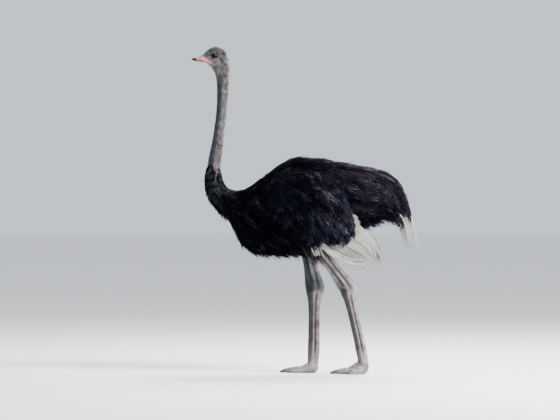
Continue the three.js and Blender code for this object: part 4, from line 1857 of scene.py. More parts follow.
@dataclass
class Skin:
    """The one skin from the face to the toes."""

    wardrobe: Wardrobe
    markings: Markings
    legs: dict[Side, LegSurface]
    sides: int = 168
    head_rings: int = 165
    neck_rings: int = 80
    trunk_rings: int = 34
    limb_stretches: tuple = ((0, 8, 62), (8, 9.9, 56), (9.9, TARSUS_END, 130), (TARSUS_END, LIMB_END, 84))
    limb_sides: int = 52
    toe_grid: tuple[int, int] = (60, 32)
    arm_span: tuple[float, float, int] = (0.25, 6.9, 36)
    arm_sides: int = 28
    lid_grid: tuple[int, int] = (60, 10)
    lid_overlap: float = math.radians(8)
    lid_radius: float = 0.00135
    lid_lift: float = 0.0006
    # How dark the lid rims are.
    lid_soot: float = 0.72
    lid_thickness: float = 0.0010
    lid_fold: float = 0.0012
    lid_crease: float = 0.0011
    socket_depth: float = 0.0035
    brow_overhang: float = 0.0060
    lip: float = 0.0012
    mouth_depth: float = 0.0026
    ear_rim: float = 0.0013
    ear_depth: float = 0.0070
    name: str = "skin"

    MASKS = ("legs", "slate", "black", "pink", "soot", "groove")
    NODES = ("head", "neck_upper", "neck_middle", "neck_lower", "trunk", "tail") + tuple(
        f"{part}_{side.label}" for part in SKIN_PAIRS for side in Side
    )

    def build(self) -> Piece:
        """Make the skin, joined from its parts, and dress it.

        Returns:
            The skin.
        """
        whole = self.body()
        parts = [self.lid(side, upper) for side in Side for upper in (True, False)]
        for side in Side:
            parts += [self.limb(side), self.outer_toe(side), self.arm(side)]
        unite(whole, parts)
        self.rest_on_floor(whole.data)
        whole.data.materials.clear()
        whole.data.materials.append(self.wardrobe.skin)
        return hand_over(whole, "leg_skin", *self.NODES)

    def part(self, name: str, rings: Array, values: dict[str, Array]) -> Piece:
        """A closed part with the value of every mask at its points.

        Args:
            name: Its name.
            rings: Points as ring by corner.
            values: Masks as ring by corner; those left out are 0.

        Returns:
            The part.
        """
        return tube(rings, **{key: values.get(key, 0.0) for key in self.MASKS}).to_object(name)

    def body(self) -> Piece:
        """Face, neck and trunk, with the face modelled.

        Returns:
            The part.
        """
        loft = Loft(BODY_STATIONS, skull_relief)
        angles = denser(0, 2 * math.pi, self.sides + 1, self._angle_density)[:-1]
        head = denser(0, NECK_START, self.head_rings, lambda t: 1 + 2.2 * bump(t, 3.5, 0.8))
        rest = stretches((NECK_START, NECK_ROOT, self.neck_rings), (NECK_ROOT, SKIN_END, self.trunk_rings))
        at = np.concatenate([head, rest[1:]])
        where, turn = grid(at, angles)
        rings = self.model_face(loft.point(where, turn, -coat_depth(where)))
        marks = self.markings
        # The bluish grey of the neck's front is painted shade, and the dark marks hold painted shade in the
        # face's creases and ear.
        values = {
            "slate": marks.slate(where, turn),
            "black": marks.black(where, turn, rings),
            "pink": np.clip(marks.collar(where, turn, rings) + marks.beak(rings), 0, 1),
            "soot": marks.soot(rings),
        }
        return self.part(self.name, rings, values)

    def _angle_density(self, angle: Array) -> Array:
        """More corners of a ring at the height of the eyes and the mouth, on both sides."""
        side = np.degrees(np.arcsin(np.sin(angle)))
        return 1 + 2.0 * bump(side, 12, 17) + 0.7 * bump(side, -32, 16)

    def model_face(self, rings: Array) -> Array:
        """Shape the lids, the gape and the ear into the sides of the head.

        Args:
            rings: Points as ring by corner.

        Returns:
            The rings with the features in them.
        """
        x, y, z = rings[..., 0], rings[..., 1], rings[..., 2]
        width = np.abs(y)
        side = smooth(width, 0.010, 0.020) * smooth(x, -0.44, -0.47)
        over, along = from_line(x, z, GAPE)
        ends = smooth(along, 1.12, 0.92) * smooth(along, -0.3, 0.0)
        lips = self.lip * (bump(over, 0.0042, 0.0022) + bump(over, -0.0042, 0.0022))
        width = width + side * ends * (lips - self.mouth_depth * bump(over, 0, 0.0016))
        ear = np.hypot(x - EAR[0], z - EAR[1])
        hole = self.ear_depth * bump(ear, 0, 0.0052)
        width = width + side * (self.ear_rim * bump(ear, 0.0088, 0.0026) - hole)
        rho, high = EYE.opening(x, z)
        ball = EYE.ball(x, z)
        near = np.maximum(ball + self.lid_thickness, width - self.brow_overhang)
        lid = near + (width - near) * smooth(rho, 1.0, 2.1)
        upper = smooth(high, -0.004, 0.006)
        fold = self.lid_fold * bump(rho, 1.42, 0.13) - self.lid_crease * bump(rho, 1.68, 0.10)
        lid = lid + fold * (0.45 + 0.55 * upper)
        hidden = ball - self.socket_depth
        inside = hidden + (near - hidden) * smooth(rho, 0.90, 1.0)
        eye = np.where(rho < 1, inside, lid)
        width = np.where((rho < 2.1) & (side > 0.5), eye, width)
        shaped = rings.copy()
        shaped[..., 1] = np.sign(y) * width
        return shaped

    def lid(self, side: Side, upper: bool) -> Piece:
        """The rounded rim of one eyelid.

        Args:
            side: Which side of the bird.
            upper: Whether it is the upper lid.

        Returns:
            The part.
        """
        steps, corners = self.lid_grid
        reach = self.lid_overlap
        span = (-reach, math.pi + reach) if upper else (math.pi - reach, 2 * math.pi + reach)
        line = EYE.rim(side, np.linspace(*span, steps), self.lid_lift)
        along = unit(np.gradient(line, axis=0))
        out = unit(line - np.array([EYE.x, side.value * EYE.y, EYE.z]))
        across = unit(np.cross(along, out))
        out = np.cross(across, along)
        share = np.linspace(-1, 1, steps)
        radius = self.lid_radius * (1.15 if upper else 0.9) * np.sqrt(np.maximum(1 - share**6, 0.05))
        angles = round_angles(corners)[:, None]
        circle = np.cos(angles) * across[:, None] + np.sin(angles) * out[:, None]
        rings = outward(line[:, None] + radius[:, None, None] * circle)
        return self.part(f"lid_{side.label}_{'upper' if upper else 'lower'}", rings, {"soot": self.lid_soot})

    def limb(self, side: Side) -> Piece:
        """One leg from the knee, inside the trunk, to the end of the middle toe.

        Args:
            side: Which side of the bird.

        Returns:
            The part.
        """
        surface = self.legs[side]
        where, turn = grid(stretches(*self.limb_stretches), round_angles(self.limb_sides))
        # The grooves' darkening is mostly painted shade, and the bluish grey on the right leg painted shadow.
        values = {"legs": 1.0, "groove": surface.groove(where, turn), "slate": surface.slate(where, turn)}
        return self.part(f"limb_{side.label}", surface.loft.point(where, turn), values)

    def outer_toe(self, side: Side) -> Piece:
        """The small outer toe, with plates on top.

        Args:
            side: Which side of the bird.

        Returns:
            The part.
        """
        shape = self.legs[side].shape
        arc = shape.outer_toe().arc_length
        pitch = self.legs[side].toe_pitch

        def relief(at: Array, angle: Array) -> Array:
            """Plates over the toe's top.

            Args:
                at: Station numbers.
                angle: Angles round the ring, in radians.

            Returns:
                The height, in metres.
            """
            share = arc(at) / pitch % 1.0
            plate = smooth(share, 0, 0.2) * (0.5 + 0.5 * share)
            return 0.0016 * smooth(np.sin(angle), 0.2, 0.5) * (plate - 0.8)

        steps, sides = self.toe_grid
        where, turn = grid(np.linspace(0, len(OUTER_TOE) - 1, steps), round_angles(sides))
        rings = shape.outer_toe(relief).point(where, turn, -0.004 * smooth(where, 3.4, 4.0) ** 2)
        return self.part(f"outer_toe_{side.label}", rings, {"legs": 1.0})

    def arm(self, side: Side) -> Piece:
        """The flesh of one folded wing, which lies along its upper half.

        Args:
            side: Which side of the bird.

        Returns:
            The part.
        """
        at, angle = grid(np.linspace(*self.arm_span), round_angles(self.arm_sides))
        low = 0.10 * smooth(-np.sin(angle), -0.2, 0.9)
        shoulder = 0.025 * smooth(at, 1.2, 0.3)
        rings = wing_loft(side).point(at, angle, -WING_DEPTH - low - shoulder)
        return self.part(f"arm_{side.label}", rings, {"black": 1.0})

    def rest_on_floor(self, mesh: bpy.types.Mesh) -> None:
        """Flatten the soles at the floor.

        Args:
            mesh: The skin's mesh.
        """
        points = points_of(mesh)
        points[:, 2] = np.maximum(points[:, 2], 0.0)
        mesh.vertices.foreach_set("co", points.astype(np.float32).ravel())
        mesh.update()


# --- Bill, eyes and claws ---


@dataclass
class Bill:
    """The two halves of the bill."""

    wardrobe: Wardrobe
    nostril: tuple[float, float] = (-0.703, 2.077)
    nostril_half: tuple[float, float] = (0.0092, 0.0030)
    dark_from: float = -0.705
    dark_to: float = -0.718
    upper_rings: int = 110
    lower_rings: int = 80
    tip_crowding: float = 1.25
    sides: int = 72

    def build(self) -> list[Piece]:
        """Make both halves.

        Returns:
            The upper half and the lower one.
        """
        upper = self.half("bill_upper", UPPER_BILL, self.upper_rings, self.shape_upper)
        lower = self.half("bill_lower", LOWER_BILL, self.lower_rings, self.shape_lower)
        return [upper, lower]

    def half(self, node: str, loft: Loft, rings: int, shape: Callable) -> Piece:
        """One half of the bill, closed by a rounded tip.

        Args:
            node: The solid that it stands for.
            loft: Its form.
            rings: Number of rings.
            shape: Gives the height over the loft from station numbers and angles.

        Returns:
            The piece.
        """
        at = loft.last * (1 - (1 - np.linspace(0, 1, rings)) ** self.tip_crowding)
        where, turn = grid(at, round_angles(self.sides))
        height, soot = shape(where, turn, loft.point(where, turn))
        points = loft.point(where, turn, height)
        data = tube(points, tip=smooth(points[..., 0], self.dark_from, self.dark_to), soot=soot)
        return hand_over(data.to_object(f"{node}_horn", self.wardrobe.bill), "bill_horn", node)

    def shape_upper(self, at: Array, angle: Array, place: Array) -> tuple:
        """Height and darkening of the upper half: ridge, side grooves, nostrils, edge and nail; the nostril
        and the line along the edge are darkened as painted shade.

        Args:
            at: Station numbers.
            angle: Angles round the ring, in radians.
            place: Their places, in metres.

        Returns:
            The height over the loft and how dark the horn is.
        """
        turn = tilt_of(angle)
        root = smooth(at, 0.6, 1.2)
        ridge = 0.0008 * bump(turn, 90, 34) * smooth(at, 5.0, 3.6)
        groove = -0.0009 * bump(turn, 44, 11) * root * smooth(at, 4.6, 3.2)
        edge = -0.0008 * bump(turn, -28, 9) * root
        nail = 0.0007 * smooth(at, 4.15, 4.4) * smooth(turn, 0, 30) * smooth(at, 6.0, 5.4)
        x = (place[..., 0] - self.nostril[0]) / self.nostril_half[0]
        z = (place[..., 2] - self.nostril[1]) / self.nostril_half[1]
        slot = np.hypot(x, z)
        hole = smooth(slot, 1.0, 0.55)
        rim = 0.0005 * bump(slot, 1.35, 0.3)
        height = ridge + groove + edge + nail + rim - 0.0030 * hole - 0.0006
        # Painted shade in the nostril and along the crease of the bill's edge.
        return height, np.clip(hole + 0.35 * bump(turn, -32, 7) * root, 0, 1)

    def shape_lower(self, at: Array, angle: Array, place: Array) -> tuple:
        """Height and darkening of the lower half: flat rami with a groove between them; the half is darkened
        as painted shade, most on its underside and on its top inside the closed mouth.

        Args:
            at: Station numbers.
            angle: Angles round the ring, in radians.
            place: Their places, in metres; not used.

        Returns:
            The height over the loft and how dark the horn is.
        """
        turn = tilt_of(angle)
        groove = -0.0009 * bump(turn, -90, 24) * smooth(at, 3.6, 1.5)
        nail = 0.0004 * smooth(at, 3.6, 3.9)
        mouth = 0.0040 * smooth(turn, 12, 50) * smooth(at, 4.9, 4.2)
        tucked = -0.0040 * smooth(turn, 5, -30) * smooth(at, 0.5, 0.0)
        # Painted shade: the lower half lies under the upper one, darkest underneath and inside the mouth.
        soot = 0.25 + 0.3 * smooth(turn, -35, -70) + 0.7 * smooth(turn, 12, 30)
        return groove + nail + mouth + tucked - 0.0004, np.clip(soot, 0, 1) * np.ones_like(at)


@dataclass
class Eyes:
    """The two eyeballs."""

    wardrobe: Wardrobe
    rings: int = 48
    sides: int = 72
    shrink: float = 0.0001
    pole: float = 0.012
    cornea: float = 0.0011
    flattening: float = 0.0010

    def build(self) -> list[Piece]:
        """Make both eyes, their poles at the pupils.

        Returns:
            The left eye and the right one.
        """
        pieces = []
        for side in Side:
            down = np.linspace(self.pole, math.pi - self.pole, self.rings)
            turn, about = grid(down, round_angles(self.sides))
            out, flat = np.cos(turn), np.sin(turn)
            # The cornea bulges a little over the iris.
            front = smooth(out, 0.72, 0.95)
            lens = EYE.radius - self.shrink + self.cornea * front
            x = EYE.x + lens * flat * np.cos(about)
            z = EYE.z + lens * flat * np.sin(about)
            y = side.value * (EYE.y + (lens - self.flattening * front) * out)
            rings = outward(stacked(x, y, z))
            piece = tube(rings).to_object(f"eyeball_{side.label}", self.wardrobe.eye)
            pieces.append(hand_over(piece, "eye", f"eye_{side.label}"))
        return pieces


@dataclass
class Claws:
    """The claw of each middle toe."""

    wardrobe: Wardrobe
    legs: dict[Side, LegSurface]
    rings: int = 72
    sides: int = 40
    ring_height: float = 0.0003
    blunting: float = 0.0012

    def build(self) -> list[Piece]:
        """Make both claws, worn and faintly ringed.

        Returns:
            The left claw and the right one.
        """
        pieces = []
        for side in Side:
            loft = self.legs[side].shape.claw()
            where, turn = grid(np.linspace(0, loft.last, self.rings), round_angles(self.sides))
            worn = self.ring_height * np.sin(where * 23) * smooth(where, 3.2, 2.0)
            points = loft.point(where, turn, worn - 0.0002 - self.blunting * smooth(where, 3.4, 4.0) ** 2)
            points[..., 2] = np.maximum(points[..., 2], 0.0)
            data = tube(points, tip=smooth(where, 0.8, 3.6), soot=0.0)
            piece = data.to_object(f"claw_{side.label}_horn", self.wardrobe.claw)
            pieces.append(hand_over(piece, "claw_horn", f"claw_{side.label}"))
        return pieces


# --- Feathers ---


@dataclass
class Roots:
    """Where feathers or tufts are rooted on a loft, and how they lie there.

    droop is the angle in radians between the way along the loft and the way of the feather, towards the
    ground, and sway a small turn to one side. lift holds how high the root and the tip stand in the coat,
    and how far the tip curls out of it, as shares of its depth.
    """

    at: Array
    angle: Array
    lengths: Array
    half_widths: Array
    depths: Array
    droop: Array
    sway: Array
    lift: Array


def scatter(
    loft: Loft,
    span: tuple[float, float],
    arc: tuple[float, float],
    spacing: Callable[[float], float],
    draw: Draw,
    rise: Callable[[float], float],
) -> tuple[Array, Array]:
    """Uneven rows of places over part of a loft.

    Args:
        loft: The surface.
        span: First and last station number.
        arc: First and last angle, in radians.
        spacing: Metres between neighbours at a station number.
        draw: Source of the disorder.
        rise: Height of the rooting surface over the loft at a station number.

    Returns:
        Station numbers and angles.
    """
    fine = np.linspace(*arc, 97)
    at_rows = [span[0]]
    while at_rows[-1] < span[1]:
        here = at_rows[-1]
        stretch = length_of(loft.point(here + 0.05, fine) - loft.point(here - 0.05, fine)).mean() * 10
        at_rows.append(here + spacing(here) * 0.87 / max(stretch, 1e-4))
    rows, turns = [], []
    for here in at_rows[:-1]:
        line = loft.point(here, fine, rise(here))
        reach = np.concatenate([[0.0], np.cumsum(length_of(np.diff(line, axis=0)))])
        count = max(int(reach[-1] / spacing(here)), 3)
        places = (np.arange(count) + draw.uniform(0, 1) + draw.normal(0, 0.22, count)) / count * reach[-1]
        turns.append(np.interp(np.clip(places, 0, reach[-1]), reach, fine))
        pitch = spacing(here) * 0.87 / max(stretch, 1e-4)
        rows.append(here + pitch * draw.normal(0, 0.28, count))
    return np.concatenate(rows), np.concatenate(turns)


@dataclass
class Comb:
    """Lays shafts over a loft from their roots, along it and towards the ground."""

    loft: Loft
    steps: int = 7
    leaves: Callable | None = None
    sag: float = 0.15

    def shafts(self, roots: Roots, places: Array, values: dict[str, Array]) -> Shafts:
        """The shafts of all the feathers.

        Args:
            roots: Where and how they grow.
            places: Their roots on the bake map.
            values: Numbers for each feather.

        Returns:
            The shafts.
        """
        count = len(roots.at)
        at = roots.at.copy()
        angle = roots.angle.copy()
        paths = np.empty((count, self.steps + 1, 3))
        faces = np.empty_like(paths)
        step = roots.lengths / self.steps
        down = np.array([0.0, 0.0, -1.0])
        free = np.zeros(count, bool)
        going = np.zeros((count, 3))
        for k in range(self.steps + 1):
            share = (k / self.steps) ** 0.8
            height = -1 + roots.lift @ np.array([1 - share, share, share**4])
            frame = self.loft.frame(at, angle, roots.depths * height)
            place, normal = frame.place, frame.normal
            if k and self.leaves is not None:
                free |= self.leaves(at, angle)
                hung = paths[:, k - 1] + going * step[:, None]
                place = np.where(free[:, None], hung, place)
                normal = np.where(free[:, None], faces[:, k - 1], normal)
            paths[:, k] = place
            faces[:, k] = normal
            aside = np.cross(frame.normal, frame.along)
            wanted = (
                frame.along * np.cos(roots.droop)[:, None]
                + down * np.sin(roots.droop)[:, None]
                + aside * roots.sway[:, None]
            )
            skew = (frame.along * frame.around).sum(-1)
            ahead = (wanted * frame.along).sum(-1)
            turned = (wanted * frame.around).sum(-1)
            rest = np.maximum(1 - skew**2, 0.05)
            a = (ahead - skew * turned) / rest
            b = (turned - skew * ahead) / rest
            size = np.sqrt(np.maximum(a * a + b * b + 2 * a * b * skew, 1e-6))
            at = at + a / size * step / frame.per_station
            angle = angle + b / size * step / frame.per_radian
            last = unit(paths[:, k] - paths[:, k - 1]) if k else unit(wanted)
            going = unit(last * (1 - self.sag) + down * self.sag)
        return Shafts(paths, faces, roots.lengths, roots.half_widths, places, values)


@dataclass(frozen=True)
class CoatStage:
    """Size of the feathers at one station of the body, in millimetres and degrees."""

    at: float
    spacing: float
    length: float
    half_width: float
    droop: float


class Sector(Enum):
    """The pieces that the body's feathers are split into."""

    NECK = "neck_feathers"
    BREAST = "breast_feathers"
    LEFT = "flank_left_feathers"
    RIGHT = "flank_right_feathers"
    BACK = "back_feathers"
    BELLY = "belly_feathers"
    TAIL = "tail_feathers"


@dataclass
class BodyFeathers:
    """The black feathers of the neck, trunk and tail."""

    wardrobe: Wardrobe
    markings: Markings
    vane: Vane = Vane(barbs=12, barb_width=0.0037, shaft_width=0.0032, reach=0.46, droop=0.55, gather=1.1)
    clumps: Ripple = Ripple(21, 0.15)
    small_clumps: Ripple = Ripple(22, 0.07)
    tips: Ripple = Ripple(23, 0.12)
    browns: Ripple = Ripple(24, 0.16)
    seed: int = 11

    STAGES = rows_of(
        CoatStage,
        (14.4, 9.5, 34, 7, 3), (16.0, 10.5, 46, 8, 4), (17.5, 12, 60, 10, 8), (19.0, 14.5, 80, 12, 10),
        (21.0, 17, 105, 14, 16), (23.0, 18.5, 130, 15, 22), (26.0, 19.5, 148, 16, 28),
        (29.0, 19.5, 155, 16, 32), (31.0, 19, 135, 15, 40), (33.0, 19, 105, 14, 48),
    )
    LAST_ROOT = 31.6

    def stage(self, key: str, at: Array | float) -> Array:
        """A size of the feathers at station numbers, in metres or degrees."""
        return staged(self.STAGES, key, at) * (1 if key == "droop" else MM)

    def build(self) -> list[Piece]:
        """Grow the feathers, and split them into pieces.

        Returns:
            One piece for each sector.
        """
        draw = np.random.default_rng(self.seed)
        loft = Loft(BODY_STATIONS)
        at, angle = scatter(
            loft,
            (14.45, self.LAST_ROOT),
            (-math.pi, math.pi),
            lambda t: float(self.stage("spacing", t)),
            draw,
            lambda t: -0.6 * float(coat_depth(np.array(t))),
        )
        place = loft.point(at, angle, -coat_depth(at))
        keep = (self.markings.black(at, angle, place) > 0.5) & ~under_wing(place)
        at, angle, place = at[keep], angle[keep], place[keep]
        roots = self.roots(at, angle, place, draw)
        share = loft.arc_length(at) / loft.arc_length(np.array([33.0]))[0]
        places = stacked(share, (angle % (2 * math.pi)) / (2 * math.pi))
        comb = Comb(loft, leaves=self.leaves, sag=0.32)
        shafts = comb.shafts(roots, places * 0.96 + 0.02, self.tints(at, angle, place, draw))
        sector = self.sectors(at, angle)
        return [self.piece(shafts.picked(sector == k), kind) for k, kind in enumerate(Sector)]

    def leaves(self, at: Array, angle: Array) -> Array:
        """Where a feather hangs free of the body: past the rump, and sooner on its underside."""
        return (at > 32.4) | ((at > 31.2) & (np.sin(angle) < -0.2))

    def roots(self, at: Array, angle: Array, place: Array, draw: Draw) -> Roots:
        """How each feather lies, in clumps that share a turn.

        Args:
            at: Station numbers.
            angle: Angles round the ring, in radians.
            place: Their places, in metres.
            draw: Source of the disorder.

        Returns:
            The roots.
        """
        count = len(at)
        clump = self.clumps.at(place)
        fine = self.small_clumps.at(place)
        body = smooth(at, 17.0, 20.0)
        sway = (0.10 + 0.24 * body) * clump + (0.08 + 0.10 * body) * fine + draw.normal(0, 0.13, count)
        length = self.stage("length", at) * (1 + 0.12 * clump + draw.normal(0, 0.16, count))
        belly = smooth(-np.sin(angle), 0.4, 0.9) * smooth(at, 19, 21)
        shoulder = bump(at, 20.8, 1.3) * bump(tilt_of(angle), 32, 26)
        tail = smooth(at, 29.5, 31.0) * smooth(np.sin(angle), 0.55, -0.25)
        length = length * (1 - 0.30 * belly - 0.84 * tail + 0.45 * shoulder)
        droop = np.radians(self.stage("droop", at) * (1 + 0.3 * fine))
        chest = smooth(-np.sin(angle), 0.0, 0.5) * smooth(at, 18.0, 19.5) * smooth(at, 26.0, 22.0)
        calm = 1 - 0.85 * smooth(np.sin(angle), 0.2, 0.7)
        tip = 0.88 + 0.1 * self.tips.at(place) + calm * draw.normal(0, 0.12, count)
        tip = np.minimum(tip + 0.3 * shoulder, 1.15) - 0.55 * chest
        curl = np.clip(draw.normal(0.02, 0.24, count), -0.25, 0.6) * (0.3 + 0.7 * body) * calm + 0.15 * belly
        lift = stacked(draw.uniform(0.20, 0.50, count), tip, np.minimum(curl, 1.45 - tip))
        width = self.stage("half_width", at) * (1 + draw.normal(0, 0.18, count))
        return Roots(at, angle, length, width, coat_depth(at), droop, sway, lift)

    def tints(self, at: Array, angle: Array, place: Array, draw: Draw) -> dict:
        """Browner and paler feathers: more of them on the upper back and rump, partly the feathers' own tone
        and partly painted highlight where the light falls; with grey flecks on the neck.

        Args:
            at: Station numbers.
            angle: Angles round the ring, in radians.
            place: Their places, in metres.
            draw: Source of the disorder.

        Returns:
            The shade and the paleness of each feather.
        """
        count = len(at)
        # Painted highlight: on the upper rear, where the light falls, feathers are browner and paler more
        # often, on top of their own uneven tone.
        rear = smooth(place[:, 0], -0.25, 0.40)
        upper = smooth(np.sin(angle), -0.6, 0.4)
        collar = smooth(at, 18.0, 16.5)
        brown = 0.09 + 0.32 * rear * upper + 0.30 * collar + 0.14 * self.browns.at(place)
        shade = np.clip(brown + draw.normal(0, 0.12 + 0.22 * rear, count), 0, 1)
        chance = draw.uniform(0, 1, count)
        pale = np.where(chance < 0.08 + 0.30 * rear * upper, draw.uniform(0.15, 0.85, count), 0.0)
        neck = self.markings.flecks(at, angle, place) * draw.uniform(0.4, 1.6, count)
        return {"shade": shade, "pale": np.clip(pale + neck, 0, 1)}

    def sectors(self, at: Array, angle: Array) -> Array:
        """Which piece each feather belongs to.

        Args:
            at: Station numbers.
            angle: Angles round the ring, in radians.

        Returns:
            Each feather's sector, as its number in the Enum.
        """
        turn = np.degrees(angle) % 360
        names = list(Sector)
        part = np.full(len(at), names.index(Sector.LEFT))
        part[(turn > 135) & (turn < 235)] = names.index(Sector.RIGHT)
        part[(turn >= 45) & (turn <= 135)] = names.index(Sector.BACK)
        part[(turn >= 235) & (turn <= 305)] = names.index(Sector.BELLY)
        part[at < 21.2] = names.index(Sector.BREAST)
        part[at < 17.4] = names.index(Sector.NECK)
        part[at > 28.6] = names.index(Sector.TAIL)
        return part

    def piece(self, shafts: Shafts, sector: Sector) -> Piece:
        """One piece of the coat.

        Args:
            shafts: The feathers' shafts.
            sector: Its part of the body.

        Returns:
            The piece.
        """
        mesh = self.vane.mesh(shafts, self.seed + 1 + len(sector.value))
        finish = self.wardrobe.neck if sector is Sector.NECK else self.wardrobe.black
        return hand_over(mesh.to_object(sector.value, finish), "black_feathers")


def under_wing(place: Array) -> Array:
    """Whether places of the trunk are well covered by a folded wing.

    Args:
        place: The places, in metres.

    Returns:
        True for those places.
    """
    x = place[:, 0] / MM
    upper = np.interp(x, [a[0] for a, _, _ in WING_STATIONS], [a[2] for a, _, _ in WING_STATIONS])
    lower = np.interp(x, [b[0] for _, b, _ in WING_STATIONS], [b[2] for _, b, _ in WING_STATIONS])
    z = place[:, 2] / MM
    beside = (x > COVERED_FROM) & (x < COVERED_TO) & (np.abs(place[:, 1]) > COVER_SIDE)
    return beside & (z < upper - COVER_MARGIN) & (z > lower + COVER_MARGIN)


@dataclass
class WingFeathers:
    """The black feathers of one folded wing, which hang loosely over the flank."""

    wardrobe: Wardrobe
    side: Side
    vane: Vane = Vane(barbs=14, barb_width=0.0037, shaft_width=0.0032, reach=0.46, droop=0.55, gather=1.1)
    clumps: Ripple = Ripple(41, 0.13)
    tips: Ripple = Ripple(42, 0.10)
    browns: Ripple = Ripple(43, 0.14)
    seed: int = 31
    spacing: float = 0.0188
    upper_edge: float = math.radians(100)
    lower_root: float = math.radians(-50)
    leave: float = math.radians(-58)

    def turned(self, angle: Array) -> Array:
        """Angles above the outer face of the wing, as angles of its loft, and back."""
        return angle if self.side is Side.LEFT else math.pi - angle

    def build(self) -> Piece:
        """Grow the feathers of the outer face and dress them.

        Returns:
            The piece.
        """
        draw = np.random.default_rng(self.seed + self.side.value)
        loft = wing_loft(self.side)
        arc = (self.lower_root, self.upper_edge)
        ends = self.turned(np.array(arc))
        at, angle = scatter(loft, (0.0, 6.2), tuple(ends), lambda t: self.spacing, draw, lambda t: -0.015)
        place = loft.point(at, angle, -WING_DEPTH)
        rise = self.turned(angle)
        places = stacked((at + 0.5) / 8, (rise + math.pi / 2) / (1.2 * math.pi))
        comb = Comb(loft, leaves=lambda t, a: (self.turned(a) < self.leave) | (t > 6.9))
        shafts = comb.shafts(self.roots(at, rise, place, draw), places, self.tints(place, rise, draw))
        data = self.vane.mesh(shafts, self.seed + 2 + self.side.value)
        name = f"wing_{self.side.label}_feathers"
        return hand_over(data.to_object(name, self.wardrobe.black), "black_feathers")

    def roots(self, at: Array, rise: Array, place: Array, draw: Draw) -> Roots:
        """How each feather lies: flatter near the upper edge, steeper below and longer to the rear.

        Args:
            at: Station numbers.
            rise: Angles above the outer face.
            place: Their places, in metres.
            draw: Source of the disorder.

        Returns:
            The roots.
        """
        count = len(at)
        clump = self.clumps.at(place)
        high = smooth(rise, -0.4, 1.3)
        rear = smooth(at, 1.0, 6.0)
        droop = np.radians(66 - 36 * high - 14 * rear) * (1 + 0.14 * clump)
        length = (0.100 + 0.048 * rear) * (1 + 0.14 * clump + draw.normal(0, 0.17, count))
        length = length * (1 - 0.60 * smooth(rise, 0.3, -0.7)) * (1 - 0.5 * smooth(at, 4.4, 6.2))
        width = (0.0135 + 0.0045 * rear) * (1 + draw.normal(0, 0.18, count))
        sway = 0.26 * clump + draw.normal(0, 0.13, count)
        tip = np.minimum(0.95 + 0.16 * self.tips.at(place) + draw.normal(0, 0.13, count), 1.25)
        curl = np.clip(draw.normal(0.05, 0.32, count), -0.3, 1.35 - tip)
        lift = stacked(draw.uniform(0.2, 0.6, count), tip, curl)
        return Roots(at, self.turned(rise), length, width, np.full(count, WING_DEPTH), droop, sway, lift)

    def tints(self, place: Array, rise: Array, draw: Draw) -> dict:
        """Browner and paler feathers towards the rear of the wing, darker in front: partly the feathers' own
        tone and partly painted light, the rear lit and the front in shade.

        Args:
            place: Their places, in metres.
            rise: Angles above the outer face.
            draw: Source of the disorder.

        Returns:
            The shade and the paleness of each feather.
        """
        count = len(rise)
        # Painted light: the rear of the wing browner and paler where the light falls, its front darker in
        # shade, on top of the feathers' own uneven tone.
        rear = smooth(place[:, 0], -0.15, 0.25)
        shade = 0.10 + 0.34 * rear + 0.16 * self.browns.at(place) + draw.normal(0, 0.12 + 0.22 * rear)
        chance = draw.uniform(0, 1, count)
        pale = np.where(chance < 0.10 + 0.28 * rear, draw.uniform(0.15, 0.85, count), 0.0)
        return {"shade": np.clip(shade, 0, 1), "pale": pale}


@dataclass
class ThighFeathers:
    """The short black feathers, some of them pale, that hang over the top of one leg."""

    wardrobe: Wardrobe
    side: Side
    vane: Vane = Vane(barbs=10, barb_width=0.0036, shaft_width=0.0030, reach=0.46, droop=0.55, gather=1.1)
    seed: int = 46
    span: tuple[float, float] = (0.5, 3.5)
    spacing: float = 0.019
    length: float = 0.095
    half_width: float = 0.013
    depth: float = 0.014
    droop: float = math.radians(24)

    def build(self) -> Piece:
        """Grow the feathers and dress them.

        Returns:
            The piece.
        """
        draw = np.random.default_rng(self.seed + self.side.value)
        loft = LegShape(self.side).limb()
        around = (-math.pi, math.pi)
        at, angle = scatter(loft, self.span, around, lambda t: self.spacing, draw, lambda t: 0.0)
        count = len(at)
        length = self.length * (1 + draw.normal(0, 0.2, count))
        height, tip = draw.uniform(0.8, 1.0, count), draw.uniform(1.2, 2.2, count)
        lift = stacked(height, tip, draw.normal(0.1, 0.5, count))
        width, depth, droop = (np.full(count, size) for size in (self.half_width, self.depth, self.droop))
        roots = Roots(at, angle, length, width, depth, droop, draw.normal(0, 0.2, count), lift)
        low = smooth(at, 1.8, 3.2)
        pale = np.where(draw.uniform(0, 1, count) < 0.55 * low, draw.uniform(0.5, 1, count), 0.0)
        values = {"shade": np.clip(0.1 + 0.4 * low + draw.normal(0, 0.15, count), 0, 1), "pale": pale}
        places = stacked(0.05 + at / 4, (angle + math.pi) / (2.1 * math.pi))
        shafts = Comb(loft, leaves=lambda t, a: t > 4.4).shafts(roots, places, values)
        data = self.vane.mesh(shafts, self.seed + 2)
        name = f"thigh_{self.side.label}_feathers"
        return hand_over(data.to_object(name, self.wardrobe.black), "black_feathers")


